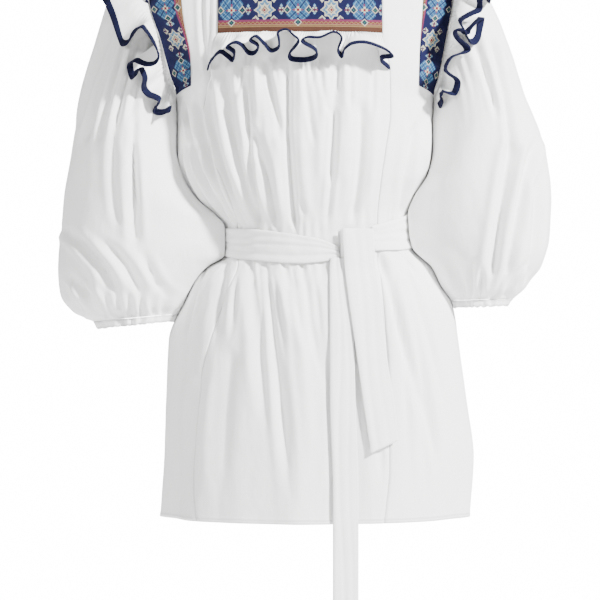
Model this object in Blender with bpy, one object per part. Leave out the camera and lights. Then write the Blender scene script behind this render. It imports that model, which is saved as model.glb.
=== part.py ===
"""Romanian ie blouse, worn form with no wearer: white cotton tunic with princess seams, woven
folk ribbons, navy-bound frills, puff sleeves and a tie belt. Tables and sizes are in
millimetres, objects in metres. Left and right are those of someone facing the front.
The origin is on the shoulder line, midway between the shoulder tips."""

import bisect
import math
from collections import namedtuple

import bmesh
import bpy
from mathutils import Vector

for leftover in list(bpy.data.objects):
    bpy.data.objects.remove(leftover)

MM = 0.001
CLOTH = 1.2
SEAM_GAP = 0.3
RIBBON = 1.0
BELT_CLOTH = 2.4
BINDING = 1.6

HEM = -806.0
NECK_RISE = 33.0
SHOULDER_FADE = 90.0
FRONT_NECK = -67.0
RIBBON_FOOT = -121.0
BACK_NECK = -30.0
BACK_BAND_FOOT = -67.0
UNDERARM = -212.0

Section = namedtuple("Section", "z left right front back")
SECTIONS = [
    Section(HEM, 206, 232, 160, 150),
    Section(-720, 201, 239, 154, 146),
    Section(-641, 199, 230, 149, 141),
    Section(-554, 196, 218, 140, 132),
    Section(-504, 177, 210, 130, 124),
    Section(-474, 163, 193, 119, 115),
    Section(-450, 143, 181, 102, 106),
    Section(-434, 118, 163, 100, 96),
    Section(-424, 117, 154, 100, 90),
    Section(-404, 117, 149, 100, 89),
    Section(-392, 118, 148, 102, 89),
    Section(-376, 131, 147, 105, 90),
    Section(-350, 160, 156, 112, 97),
    Section(-317, 179, 176, 119, 101),
    Section(-281, 187, 183, 124, 105),
    Section(UNDERARM, 186, 183, 124, 106),
    Section(-173, 209, 204, 119, 104),
    Section(-122, 230, 220, 109, 97),
    Section(-67, 247, 230, 89, 81),
    Section(-30, 240, 224, 60, 56),
    Section(-12, 234, 219, 37, 35),
    Section(-3, 231, 217, 18, 18),
    Section(0, 230, 216, 0.1, 0.1),
]

# Where the princess seams and the inner edges of the shoulder ribbons run, as distances from
# the middle at each height.
Seam = namedtuple("Seam", "z left right")
FRONT_SEAMS = [
    Seam(HEM, 150, 107),
    Seam(-729, 157, 115),
    Seam(-616, 147, 115),
    Seam(-509, 121, 108),
    Seam(-444, 96, 103),
    Seam(-388, 98, 100),
    Seam(-329, 116, 105),
    Seam(-287, 132, 111),
    Seam(-231, 143, 118),
    Seam(-177, 137, 117),
    Seam(-121, 123, 106),
    Seam(0, 123, 106),
]
BACK_SEAMS = [
    Seam(HEM, 146, 138),
    Seam(-616, 128, 120),
    Seam(-430, 80, 84),
    Seam(-390, 80, 84),
    Seam(-212, 130, 118),
    Seam(-121, 123, 106),
    Seam(0, 123, 106),
]
RIBBON_INNER = [
    Seam(HEM, 178, 190),
    Seam(-554, 166, 176),
    Seam(-396, 108, 128),
    Seam(-281, 170, 158),
    Seam(-200, 161, 158),
    Seam(-158, 162, 159),
    Seam(-102, 172, 163),
    Seam(0, 184, 172),
]

# The armhole's edge as a turn round the body: 90 is the side seam, 0 the centre front.
Armhole = namedtuple("Armhole", "z turn")
ARMHOLE = [
    Armhole(HEM, 90),
    Armhole(UNDERARM, 90),
    Armhole(-207, 83),
    Armhole(-195, 75),
    Armhole(-170, 68),
    Armhole(-120, 65),
    Armhole(-65, 65),
    Armhole(-30, 70),
    Armhole(-10, 80),
    Armhole(0, 90),
]

LEVELS = [
    0, -3, -12, -30, -48, -67, -94, -121, -152, -180, -198, -208, UNDERARM, -245, -285, -320,
    -350, -372, -390, -408, -428, -448, -466, -505, -560, -630, -700, -755, HEM,
]

# Main folds: the course runs through three points, a negative depth is a valley.
Fold = namedtuple("Fold", "z_top x_top z_mid x_mid z_end x_end width depth")
FRONT_FOLDS = [
    Fold(-185, -147, -267, -143, -395, -108, 9, -3.0),
    Fold(-170, -136, -291, -123, -399, -77, 8, -4.5),
    Fold(-165, -113, -280, -98, -399, -64, 9, -6.0),
    Fold(-150, -90, -190, -94, -225, -99, 7, -4.0),
    Fold(-165, -85, -300, -77, -402, -61, 8, -5.0),
    Fold(-150, -58, -215, -47, -280, -36, 9, -4.0),
    Fold(-250, -75, -320, -57, -402, -43, 8, -5.0),
    Fold(-165, -26, -300, -23, -402, -14, 11, -6.0),
    Fold(-150, 46, -235, 38, -340, 34, 9, -4.0),
    Fold(-215, 76, -300, 76, -395, 64, 10, -5.0),
    Fold(-240, 156, -296, 146, -390, 133, 10, -5.0),
    Fold(-225, 170, -280, 172, -330, 165, 8, 3.0),
    Fold(-430, -112, -500, -122, -575, -129, 10, -5.0),
    Fold(-430, -78, -560, -62, -700, -53, 11, -6.0),
    Fold(-430, -58, -600, -38, -800, -18, 9, -9.0),
    Fold(-430, -34, -500, -15, -570, 0, 9, -5.0),
    Fold(-430, -6, -510, 4, -625, 26, 10, -5.0),
    Fold(-425, 102, -570, 143, -745, 190, 13, -10.0),
    Fold(-425, 130, -456, 154, -500, 176, 8, -4.0),
    Fold(-600, -150, -700, -158, -790, -154, 12, -4.0),
    Fold(-470, -20, -620, 2, -780, 8, 16, 4.0),
]
BACK_FOLDS = [
    Fold(-120, -95, -260, -82, -395, -52, 10, -5.0),
    Fold(-150, -50, -280, -40, -395, -26, 9, -5.0),
    Fold(-100, 8, -250, 4, -395, 2, 11, -5.0),
    Fold(-160, 52, -280, 45, -390, 30, 9, -5.0),
    Fold(-130, 92, -260, 84, -390, 58, 10, -5.0),
    Fold(-235, -150, -300, -140, -385, -100, 10, -4.0),
    Fold(-235, 150, -300, 142, -380, 112, 10, -4.0),
    Fold(-425, -92, -560, -120, -740, -150, 12, -8.0),
    Fold(-425, -48, -600, -62, -800, -76, 11, -8.0),
    Fold(-425, 6, -590, 4, -720, -2, 12, -6.0),
    Fold(-425, 50, -600, 66, -800, 82, 11, -8.0),
    Fold(-425, 100, -560, 128, -700, 156, 12, -8.0),
]
FOLD_FADE = 24.0
# Beside a trough the cloth swells by this share of its depth, this many widths away.
SWELL = 0.35
SWELL_PLACE = 2.2
WAIST_GATHERS = 24
WAIST_GATHER_DEPTH = 2.2
WAIST_GATHER_REACH = 34
FLUTE_DEPTH = 3.0
FLUTES_START = 467.0
# Ridges stay flat within this height of the belt, and under its tails.
BELT_REACH = 46
TAILS_X = 76
TAILS_REACH = 70
TAILS_START = (430, 450)
FLATTENING = 1.5

# The belt's upper and lower edges, from the knot round the left, back and right to the knot.
Belt = namedtuple("Belt", "turn top foot")
BELT = [
    Belt(-322.4, -393, -428),
    Belt(-298, -381, -426),
    Belt(-270, -371, -418),
    Belt(-180, -378, -420),
    Belt(-90, -394, -432),
    Belt(-43, -397, -440),
    Belt(-3, -407, -446),
    Belt(7, -412, -444),
    Belt(16.6, -422, -438),
]
BELT_LIFT = CLOTH + 1.4
KNOT_LEFT = 47.2
KNOT_RIGHT = 90.0
KNOT_TOP = -398.0
KNOT_FOOT = -439.0
KNOT_DEPTH = 8.5
KNOT_ROUND = 3.3

Tail = namedtuple("Tail", "z left right lift")
TAIL_LONG = [
    Tail(-974, 36, 71, 4.0),
    Tail(-759, 36, 71, 4.0),
    Tail(-629, 32, 67, 4.0),
    Tail(-520, 32, 65, 4.0),
    Tail(-476, 32, 60, 4.0),
    Tail(-452, 32, 58, 5.5),
    Tail(-439.6, 33, 57, 5.6),
]
TAIL_SHORT = [
    Tail(-700, 86, 124, 8.0),
    Tail(-655, 79, 121, 8.0),
    Tail(-575, 68, 109, 8.0),
    Tail(-497, 57, 101, 8.6),
    Tail(-458, 52, 95, 11.0),
    Tail(-430, 49, 91, 13.2),
    Tail(-405, 47, 89, 13.4),
    Tail(-397, 47, 88, 12.2),
]

# Sleeve rings from the armhole to the cuff: the outermost and innermost points of each, seen
# from the front, and half its depth.
Ring = namedtuple("Ring", "number outer_x outer_z inner_x inner_z half_depth")
SLEEVE_LEFT = [
    Ring(0, -236, 0, -194, -209, 38),
    Ring(1, -256, -1, -190, -229, 54),
    Ring(2, -279, -50, -189.6, -252, 68),
    Ring(3, -298, -108, -190, -276, 76),
    Ring(4, -314, -163, -188, -302, 82),
    Ring(5, -327, -220, -177.5, -333, 86),
    Ring(6, -336, -278, -158, -361, 88),
    Ring(7, -346, -338, -125, -390, 89),
    Ring(8, -353, -399, -125, -419, 89),
    Ring(9, -357, -454, -148, -451, 87),
    Ring(10, -353, -491, -169.5, -480, 81),
    Ring(11, -335, -514, -181, -503, 68),
    Ring(12, -302, -528, -189, -517, 51),
    Ring(13, -300, -539, -192, -528, 51),
]
SLEEVE_RIGHT = [
    Ring(0, 218, 0, 189, -209, 38),
    Ring(1, 238, -1, 188.5, -229, 54),
    Ring(2, 256, -48, 188, -252, 68),
    Ring(3, 279, -96, 187, -278, 76),
    Ring(4, 297, -145, 185, -304, 82),
    Ring(5, 315, -202, 173.5, -333, 86),
    Ring(6, 336, -255, 155, -364, 88),
    Ring(7, 348, -302, 154.5, -387, 89),
    Ring(8, 353, -353, 160, -413, 88),
    Ring(9, 350, -410, 178, -442, 85),
    Ring(10, 337, -448, 194, -468, 78),
    Ring(11, 317, -478, 204.5, -487, 65),
    Ring(12, 295, -495, 212, -498, 50),
    Ring(13, 292, -506, 217, -509, 50),
]
CUFF_RING = 12.0
SLEEVE_ROWS = [0, 0.4, 1.1, 2.2, 3.6, 5.1, 6.6, 8.0, 9.2, 10.2, 11.0, 11.5, CUFF_RING]
WIDEST_SLEEVE_STEP = 16.5
CUFF_ROWS = [CUFF_RING + 0.06, CUFF_RING + 0.94]
CUFF_CLOTH = 2.2
CUFF_GATHERS = 11
CUFF_GATHER_DEPTH = 5.0
CUFF_GATHER_ROWS = (9.6, 11.6)
CUFF_FLATTENS = 0.75

# Folds of a sleeve: turn round the arm (0 outermost, 90 front, -90 back) and ring number.
Crease = namedtuple("Crease", "turn_top ring_top turn_end ring_end width depth")
CREASES_LEFT = [
    Crease(101, 4.0, 98, 7.8, 13, -5),
    Crease(18, 7.6, 80, 10.4, 13, -7),
    Crease(20, 9.2, 52, 11.6, 12, -6),
    Crease(68, 8.0, 108, 10.4, 12, -6),
    Crease(102, 8.6, 136, 10.6, 12, -5),
    Crease(48, 0.6, 36, 4.0, 12, -5),
    Crease(76, 0.6, 66, 3.6, 12, -5),
    Crease(112, 0.8, 110, 3.4, 12, -4),
    Crease(-60, 2.5, -78, 8.0, 13, -6),
    Crease(-30, 7.6, -84, 10.4, 13, -6),
    Crease(-110, 6.0, -120, 10.4, 13, -5),
]
CREASES_RIGHT = [
    Crease(62, 4.2, 86, 9.8, 13, -8),
    Crease(30, 4.6, 70, 10.0, 12, -6),
    Crease(112, 8.4, 104, 11.6, 12, -6),
    Crease(134, 8.6, 122, 11.4, 12, -5),
    Crease(80, 0.6, 58, 4.0, 12, -5),
    Crease(44, 0.6, 34, 3.6, 12, -5),
    Crease(110, 1.0, 112, 4.0, 13, -4),
    Crease(-64, 2.5, -80, 8.4, 13, -6),
    Crease(-28, 6.6, -76, 10.2, 13, -6),
    Crease(-112, 5.6, -118, 10.4, 13, -5),
]

# Frills: each lobe's edge runs from start to end along the seam, rise is how far it stands
# off the cloth below in degrees, width is the frill's own width there.
Lobe = namedtuple("Lobe", "start end rise width")
CHEST_LOBES = [
    Lobe(-136, -127, 8, 54),
    Lobe(-123, -106, 44, 50),
    Lobe(-104, -93, 18, 48),
    Lobe(-98, -79, 58, 48),
    Lobe(-76, -65, 32, 48),
    Lobe(-68, -54, 62, 48),
    Lobe(-50, -35, 32, 48),
    Lobe(-34, -13, 70, 48),
    Lobe(-20, 11, 8, 49),
    Lobe(-4, 40, 66, 48),
    Lobe(42, 51, 24, 48),
    Lobe(55, 100, 56, 48),
    Lobe(103, 109, 22, 50),
    Lobe(113, 117, 8, 54),
]
SHOULDER_LOBES_LEFT = [
    Lobe(-143, -134, 40, 34),
    Lobe(-131, -121, 30, 50),
    Lobe(-119, -106, 52, 64),
    Lobe(-110, -92, 8, 78),
    Lobe(-95, -76, 62, 84),
    Lobe(-77, -50, 9, 88),
    Lobe(-50, -32, 56, 88),
    Lobe(-32, -8, 10, 90),
    Lobe(-8, 14, 58, 90),
    Lobe(14, 38, 10, 90),
    Lobe(38, 57, 50, 90),
    Lobe(60, 98, 8, 88),
    Lobe(91, 115, 64, 82),
    Lobe(113, 126, 10, 74),
    Lobe(122, 130, 38, 56),
    Lobe(133, 143, 36, 38),
]
SHOULDER_LOBES_RIGHT = [
    Lobe(-143, -134, 50, 28),
    Lobe(-131, -119, 30, 46),
    Lobe(-117, -102, 54, 56),
    Lobe(-104, -86, 9, 64),
    Lobe(-88, -68, 60, 68),
    Lobe(-69, -44, 9, 70),
    Lobe(-44, -26, 56, 70),
    Lobe(-26, -3, 10, 70),
    Lobe(-3, 17, 58, 70),
    Lobe(18, 40, 10, 70),
    Lobe(41, 54, 46, 68),
    Lobe(56, 73, 12, 64),
    Lobe(73, 87, 62, 60),
    Lobe(87, 99, 12, 60),
    Lobe(98, 109, 66, 56),
    Lobe(109, 118, 14, 50),
    Lobe(118, 131, 68, 46),
    Lobe(133, 144, 50, 28),
]
FRILL_CLOTH = 1.0
BINDING_WIDTH = 6.0
BINDING_GAP = 0.6
# Rows up to 1 are the frill's cloth, those from 2 to 3 its bound edge.
FRILL_ROWS = [0.0, 0.2, 0.58, 1.0]
BINDING_ROWS = [2.0, 3.0]
FRILL_LIFT = 2.2
SLEEVE_CLEARANCE = 0.8
WIDE_LOBE = 22

Finish = namedtuple("Finish", "name colour roughness")
POPLIN = Finish("white_poplin", (0.86, 0.86, 0.85), 0.85)
NAVY = Finish("navy_binding", (0.018, 0.022, 0.085), 0.7)
FOLK = Finish("folk_ribbon", (0.06, 0.10, 0.28), 0.7)


def smooth_read(table, column, at):
    """A column of a table at one height, on a smooth curve through the rows that never
    overshoots them. The table's first column rises."""
    keys = [row[0] for row in table]
    values = [getattr(row, column) for row in table]
    if at <= keys[0]:
        return values[0]
    if at >= keys[-1]:
        return values[-1]
    place = bisect.bisect_right(keys, at) - 1

    def rate(index):
        return (values[index + 1] - values[index]) / (keys[index + 1] - keys[index])

    def slope(index):
        if index in (0, len(keys) - 1):
            return rate(min(index, len(keys) - 2))
        before, after = rate(index - 1), rate(index)
        if before * after <= 0:
            return 0.0
        return 2 * before * after / (before + after)

    span = keys[place + 1] - keys[place]
    t = (at - keys[place]) / span
    start, end = values[place], values[place + 1]
    return (
        start * (1 + 2 * t) * (1 - t) ** 2
        + end * t * t * (3 - 2 * t)
        + span * slope(place) * t * (1 - t) ** 2
        - span * slope(place + 1) * t * t * (1 - t)
    )


def ease(value, low, high):
    """0 below low, 1 above high, smooth between."""
    t = min(1.0, max(0.0, (value - low) / (high - low)))
    return t * t * (3 - 2 * t)


def bell(distance, width):
    return math.exp(-((distance / width) ** 2))


def half_width(level, side):
    return smooth_read(SECTIONS, "right" if side > 0 else "left", level)


def half_depth(level, cosine):
    return smooth_read(SECTIONS, "front" if cosine > 0 else "back", level)


def turn_of(x, level, back=False):
    """The turn round the body, in degrees, of the point at this x and height."""
    share = max(-1.0, min(1.0, x / half_width(level, x)))
    turn = math.degrees(math.asin(share))
    return (180 - turn if x > 0 else -180 - turn) if back else turn


def course(fold, level):
    """The x of a fold's line at this height, on the parabola through its three points."""
    top, mid, end = fold.z_top, fold.z_mid, fold.z_end
    return (
        fold.x_top * (level - mid) * (level - end) / ((top - mid) * (top - end))
        + fold.x_mid * (level - top) * (level - end) / ((mid - top) * (mid - end))
        + fold.x_end * (level - top) * (level - mid) / ((end - top) * (end - mid))
    )


def fold_depth(turn, level):
    """How far the folds, waist gathers and skirt flutes move the cloth out at this point."""
    back = math.cos(math.radians(turn)) < 0
    half = half_width(level, math.sin(math.radians(turn)))
    depth = half_depth(level, -1 if back else 1)
    speed = math.hypot(
        half * math.cos(math.radians(turn)), depth * math.sin(math.radians(turn))
    )
    moved = 0.0
    for fold in BACK_FOLDS if back else FRONT_FOLDS:
        if not fold.z_end < level < fold.z_top:
            continue
        centre = turn_of(course(fold, level), level, back)
        distance = math.radians(turn - centre) * speed
        shown = ease(level, fold.z_end, fold.z_end + FOLD_FADE)
        shown *= 1 - ease(level, fold.z_top - FOLD_FADE, fold.z_top)
        shape = bell(distance, fold.width)
        shape -= SWELL * bell(abs(distance) - SWELL_PLACE * fold.width, fold.width)
        moved += fold.depth * shown * shape
    below = ease(-level, FLUTES_START, -HEM)
    side = math.radians(turn)
    moved += FLUTE_DEPTH * below * (math.cos(9 * side + 0.6) + 0.6 * math.cos(14 * side))
    # Nothing stands out under the belt and its tails, or at the hidden underarm.
    waist = waist_level(turn)
    near_belt = bell(level - waist, BELT_REACH)
    near_tails = bell(half * math.sin(side) - TAILS_X, TAILS_REACH)
    under_tails = 0.0 if back else ease(-level, *TAILS_START) * near_tails
    if moved > 0:
        moved *= 1 - min(1.0, FLATTENING * near_belt)
        moved *= 1 - min(1.0, FLATTENING * under_tails)
    wave = 0.5 - 0.5 * math.cos(WAIST_GATHERS * side)
    return moved - WAIST_GATHER_DEPTH * bell(level - waist, WAIST_GATHER_REACH) * wave


def waist_level(turn):
    """The height of the belt's middle at a turn round the body."""
    place = turn if turn <= BELT[-1].turn else turn - 360
    return (smooth_read(BELT, "top", place) + smooth_read(BELT, "foot", place)) / 2


def body_base(turn, level):
    """A point of the plain body form and its horizontal outward direction."""
    sine, cosine = math.sin(math.radians(turn)), math.cos(math.radians(turn))
    half, depth = half_width(level, sine), half_depth(level, cosine)
    gap = SEAM_GAP / 2 if cosine > -1e-9 else -SEAM_GAP / 2
    x = half * sine
    tip = half_width(0, sine)
    neck = smooth_read(FRONT_SEAMS, "right" if sine > 0 else "left", 0)
    rise = NECK_RISE * min(1.0, max(0.0, (tip - abs(x)) / (tip - neck)))
    z = level + rise * max(0.0, 1 + level / SHOULDER_FADE)
    outward = Vector((depth * sine, -half * cosine, 0)).normalized()
    return Vector((x, -depth * cosine - gap, z)), outward


def body_point(turn, level):
    base, outward = body_base(turn, level)
    return base + outward * fold_depth(turn, level)


def cloth_object(name, finish, mesh_data):
    """Links a finished bmesh as an object in metres, with its own material."""
    bmesh.ops.recalc_face_normals(mesh_data, faces=mesh_data.faces)
    if mesh_data.calc_volume(signed=True) < 0:
        bmesh.ops.reverse_faces(mesh_data, faces=mesh_data.faces)
    bmesh.ops.scale(mesh_data, vec=(MM, MM, MM), verts=mesh_data.verts)
    mesh = bpy.data.meshes.new(name)
    mesh_data.to_mesh(mesh)
    mesh_data.free()
    material = bpy.data.materials.new(name + "_" + finish.name)
    material.use_nodes = True
    shader = material.node_tree.nodes["Principled BSDF"]
    shader.inputs["Base Color"].default_value = (*finish.colour, 1)
    shader.inputs["Roughness"].default_value = finish.roughness
    shader.inputs["Metallic"].default_value = 0
    mesh.materials.append(material)
    mesh.shade_smooth()
    mesh.set_sharp_from_angle(angle=math.radians(50))
    made = bpy.data.objects.new(name, mesh)
    bpy.context.scene.collection.objects.link(made)
    return made


FACING_STEP = 0.05
MOST_MITRE = 1.5


def facing(surface, column, row, sign):
    """The outward direction of a surface at one column and row, from the slopes on both sides
    of it. Where the surface bends it is longer, which keeps a wall's thickness."""
    here = surface(column, row)
    ahead = (surface(column + FACING_STEP, row) - here).normalized()
    behind = (here - surface(column - FACING_STEP, row)).normalized()
    above = (surface(column, row + FACING_STEP) - here).normalized()
    below = (here - surface(column, row - FACING_STEP)).normalized()
    outward = (ahead + behind).cross(above + below).normalized() * sign
    bend = min(1.0, (ahead + behind).length / 2) if ahead.length and behind.length else 1.0
    return outward * min(MOST_MITRE, 1 / max(bend, 0.1))


def wall(name, finish, surface, columns, rows, thickness, lift=0.0, sign=1, tube=False):
    """A cloth wall: a grid on the surface lifted off it, extruded to its thickness. A tube's
    last column is its first. A negative thickness goes inwards."""
    across, down = len(columns), len(rows)
    sheet = bmesh.new()
    cell = sheet.verts.layers.int.new("cell")
    bmesh.ops.create_grid(sheet, x_segments=across - 1, y_segments=down - 1, size=1)
    for number, vert in enumerate(sheet.verts):
        vert[cell] = number
    if tube:
        corners = {vert[cell]: vert for vert in sheet.verts}
        joined = {corners[across * j + across - 1]: corners[across * j] for j in range(down)}
        bmesh.ops.weld_verts(sheet, targetmap=joined)
    # Both faces of the wall get the same diagonals, so it keeps its thickness where it twists.
    bmesh.ops.triangulate(sheet, faces=sheet.faces[:], quad_method="FIXED")
    extruded = bmesh.ops.extrude_face_region(sheet, geom=sheet.faces[:])
    moved = {item for item in extruded["geom"] if isinstance(item, bmesh.types.BMVert)}
    places = {}
    for vert in sheet.verts:
        number = vert[cell]
        if number not in places:
            column, row = columns[number % across], rows[number // across]
            places[number] = surface(column, row), facing(surface, column, row, sign)
        point, outward = places[number]
        vert.co = point + outward * (lift + (thickness if vert in moved else 0.0))
    return cloth_object(name, finish, sheet)


def spread(start, end, count):
    return [start + (end - start) * index / count for index in range(count + 1)]


def panel_point(edges, back):
    """A surface function for a body panel: its column is a share between named edges, each a
    function of the level that gives a turn."""

    def surface(share, level):
        place = min(len(edges) - 2, max(0, math.floor(share)))
        start, end = edges[place](level), edges[place + 1](level)
        turn = start + (end - start) * (share - place)
        # The side seam belongs to the front panel in front of it and to the back one behind.
        limit = 90 - 1e-6
        if back:
            turn = math.copysign(max(abs(turn), 180 - limit), turn)
        else:
            turn = math.copysign(min(abs(turn), limit), turn)
        return body_point(turn, level)

    return surface


def seam_edge(table, side, back, inset=0.0):
    """A seam's turn at each level. The inset moves it sideways, away from the middle."""
    column = "right" if side > 0 else "left"
    return lambda level: turn_of(
        side * (smooth_read(table, column, level) + inset), level, back
    )


def armhole_edge(side, back, inset=0.0):
    def edge(level):
        turn = smooth_read(ARMHOLE, "turn", level)
        if inset:
            x = half_width(level, side) * math.sin(math.radians(turn)) - inset
            return turn_of(side * x, level, back)
        return side * (180 - turn if back else turn)

    return edge


HALF_GAP = SEAM_GAP / 2
CENTRE_COLUMNS = 29
BACK_COLUMNS = 15
STRAP_SHARES = [0, 0.5, 1, 4 / 3, 5 / 3, 2]
RIBBON_SHARES = STRAP_SHARES[2:]


def make_centre(name, table, back, top, columns):
    left = seam_edge(table, -1, back, -HALF_GAP)
    right = seam_edge(table, 1, back, -HALF_GAP)

    def surface(share, level):
        # The back runs through the turn of 180, where the sign of a turn changes.
        start, end = (right(level), 360 + left(level)) if back else (left(level), right(level))
        return body_point(start + (end - start) * share, level)

    levels = [level for level in LEVELS if level <= top]
    wall(name, POPLIN, surface, spread(0, 1, columns), levels, CLOTH)
    return surface


front_surface = make_centre("front_centre", FRONT_SEAMS, False, FRONT_NECK, CENTRE_COLUMNS)
back_surface = make_centre("back_centre", BACK_SEAMS, True, BACK_NECK, BACK_COLUMNS)

strap_surfaces = {}
for side, side_name in ((-1, "left"), (1, "right")):
    for back, face_name in ((False, "front"), (True, "back")):
        seams = BACK_SEAMS if back else FRONT_SEAMS
        surface = panel_point(
            [
                seam_edge(seams, side, back, HALF_GAP),
                seam_edge(RIBBON_INNER, side, back),
                armhole_edge(side, back),
            ],
            back,
        )
        strap_surfaces[side, back] = surface
        # Seen from outside, shares run the other way on the left front and the right back.
        name = f"side_{face_name}_{side_name}"
        wall(name, POPLIN, surface, STRAP_SHARES, LEVELS, CLOTH, sign=-side if back else side)


# Ribbons and the back neck band lie on the panels: they use the panels' own points, lifted.
TRIM_LIFT = CLOTH + SEAM_GAP
RIBBON_INSET = 2.0
RIBBON_END = -198
RIDGE_LIFT = 0.7
wall(
    "neck_ribbon",
    FOLK,
    front_surface,
    spread(0, 1, CENTRE_COLUMNS),
    [level for level in LEVELS if RIBBON_FOOT <= level <= FRONT_NECK],
    RIBBON,
    TRIM_LIFT,
)
wall(
    "back_neck_band",
    POPLIN,
    back_surface,
    spread(0, 1, BACK_COLUMNS),
    [level for level in LEVELS if BACK_BAND_FOOT <= level <= BACK_NECK],
    RIBBON,
    TRIM_LIFT,
)


def ribbon_surface(side):
    """From above the front underarm over the shoulder to the same height behind: the row is
    the level, negative in front and positive behind. It shares the panels' own columns."""

    def surface(share, row):
        back, level = row > 0, -abs(row)
        inner = seam_edge(RIBBON_INNER, side, back)(level)
        outer = armhole_edge(side, back)(level)
        held = armhole_edge(side, back, RIBBON_INSET)(level)
        last = 1 + (held - inner) / (outer - inner)
        if share > STRAP_SHARES[-2]:
            spare = (share - STRAP_SHARES[-2]) / (STRAP_SHARES[-1] - STRAP_SHARES[-2])
            share = STRAP_SHARES[-2] + spare * (last - STRAP_SHARES[-2])
        raised = Vector((0, 0, RIDGE_LIFT * bell(row, 1)))
        return strap_surfaces[side, back](share, level) + raised

    return surface


ribbon_levels = [level for level in LEVELS if RIBBON_END <= level < 0]
for side, side_name in ((-1, "left"), (1, "right")):
    rows = sorted(ribbon_levels) + [0] + sorted(-level for level in ribbon_levels)
    wall(
        f"shoulder_ribbon_{side_name}",
        FOLK,
        ribbon_surface(side),
        RIBBON_SHARES,
        rows,
        RIBBON,
        TRIM_LIFT,
        sign=side,
    )


ArmholeCorner = namedtuple("ArmholeCorner", "turn place outward into")
ARMHOLE_LEVELS = [level for level in LEVELS if level >= UNDERARM]


def arm_turn(level):
    """The turn round the arm at which the armhole's front edge is at this level."""
    return math.degrees(math.acos(1 - 2 * level / UNDERARM))


def armhole_ring(side):
    """The corners of the armhole's edge, where the panels' rows end, once round the arm: each
    with the panels' outward direction and the direction into the opening."""
    halves = []
    for back in (False, True):
        edge = armhole_edge(side, back)
        half = []
        for level in ARMHOLE_LEVELS[1:-1]:
            turn = edge(level)
            inner = turn + (2 * side if back else -2 * side)
            base = body_base(turn, level)[0]
            aside = body_base(inner, level)[0] - base
            upright = body_base(inner, level + 1)[0] - body_base(inner, level - 1)[0]
            normal = aside.cross(upright).normalized()
            if normal.dot(body_base(turn, level)[1]) < 0:
                normal = -normal
            half.append((arm_turn(level), base, normal))
        halves.append(half)
    front, rear = halves
    top = Vector((side * half_width(0, side), 0, 0))
    foot = Vector((side * half_width(UNDERARM, side), 0, UNDERARM))
    ring = [(0, top, (front[0][2] + rear[0][2]).normalized())] + front
    ring += [(180, foot, Vector((side, 0, 0)))]
    ring += [(360 - turn, base, normal) for turn, base, normal in reversed(rear)]
    middle = sum((base for _, base, _ in ring), Vector()) / len(ring)
    corners = []
    for index, (turn, base, normal) in enumerate(ring):
        along = ring[(index + 1) % len(ring)][1] - ring[index - 1][1]
        into = normal.cross(along).normalized()
        if into.dot(middle - base) < 0:
            into = -into
        corners.append(ArmholeCorner(turn, base, normal, into))
    corners.append(corners[0]._replace(turn=360))
    return corners


ARMHOLES = {side: armhole_ring(side) for side in (-1, 1)}
SLEEVE_START = (CLOTH + 0.7, 1.0)
FRILL_START = (CLOTH + 1.9, -0.6)
FRILL_LEAN = 116
SLEEVE_STEP = 0.12
SEWN_ROWS = 1.3


def armhole_point(side, turn, start):
    """A point beside the armhole's edge: start holds how far out and how far into the opening."""
    corners = ARMHOLES[side]
    turn %= 360
    place = bisect.bisect_right([corner.turn for corner in corners], turn) - 1
    low, high = corners[place], corners[min(place + 1, len(corners) - 1)]
    share = (turn - low.turn) / (high.turn - low.turn) if high.turn > low.turn else 0.0
    ends = [c.place + c.outward * start[0] + c.into * start[1] for c in (low, high)]
    return ends[0].lerp(ends[1], share)


def sleeve_surface(side, rings, creases):
    """The sleeve's outer face: the column is the turn round the arm, the row a ring number."""

    def end_point(end, place):
        x, z = smooth_read(rings, end + "_x", place), smooth_read(rings, end + "_z", place)
        return Vector((x, 0, z))

    def surface(turn, row):
        angle = math.radians(turn)
        place = max(0.0, min(len(rings) - 1.0, row))
        outer, inner = end_point("outer", place), end_point("inner", place)
        depth = smooth_read(rings, "half_depth", place)
        centre = (outer + inner) / 2
        reach = outer - centre
        point = centre + reach * math.cos(angle) + Vector((0, -depth * math.sin(angle), 0))
        outward = (reach.normalized() * math.cos(angle) * depth
                   + Vector((0, -reach.length * math.sin(angle), 0))).normalized()
        moved = 0.0
        for crease in creases:
            if not crease.ring_top < place < crease.ring_end:
                continue
            share = (place - crease.ring_top) / (crease.ring_end - crease.ring_top)
            line = crease.turn_top + (crease.turn_end - crease.turn_top) * share
            away = (turn - line + 180) % 360 - 180
            moved += crease.depth * math.sin(math.pi * share) ** 0.7 * bell(away, crease.width)
        gathered = ease(place, *CUFF_GATHER_ROWS)
        gathered *= 1 - CUFF_FLATTENS * ease(place, CUFF_GATHER_ROWS[1], CUFF_RING)
        wave = 0.5 - 0.5 * math.cos(CUFF_GATHERS * angle + 0.4)
        moved -= CUFF_GATHER_DEPTH * gathered * wave
        point += outward * moved
        sewn = 1 - ease(place, 0.0, SEWN_ROWS)
        if sewn > 0:
            point = point.lerp(armhole_point(side, turn, SLEEVE_START), sewn)
        return point

    return surface


def sleeve_turns(side):
    """The armhole's corners as turns round the arm, with one more in each wide gap."""
    turns = [corner.turn for corner in ARMHOLES[side]]
    extra = [(a + b) / 2 for a, b in zip(turns, turns[1:]) if b - a > WIDEST_SLEEVE_STEP]
    return sorted(turns + extra)


for side, side_name, rings, creases in (
    (-1, "left", SLEEVE_LEFT, CREASES_LEFT),
    (1, "right", SLEEVE_RIGHT, CREASES_RIGHT),
):
    surface = sleeve_surface(side, rings, creases)
    turns = sleeve_turns(side)
    wall(f"sleeve_{side_name}", POPLIN, surface, turns, SLEEVE_ROWS, -CLOTH, sign=side, tube=True)
    wall(f"cuff_{side_name}", POPLIN, surface, turns, CUFF_ROWS, -CUFF_CLOTH, sign=side, tube=True)


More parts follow.
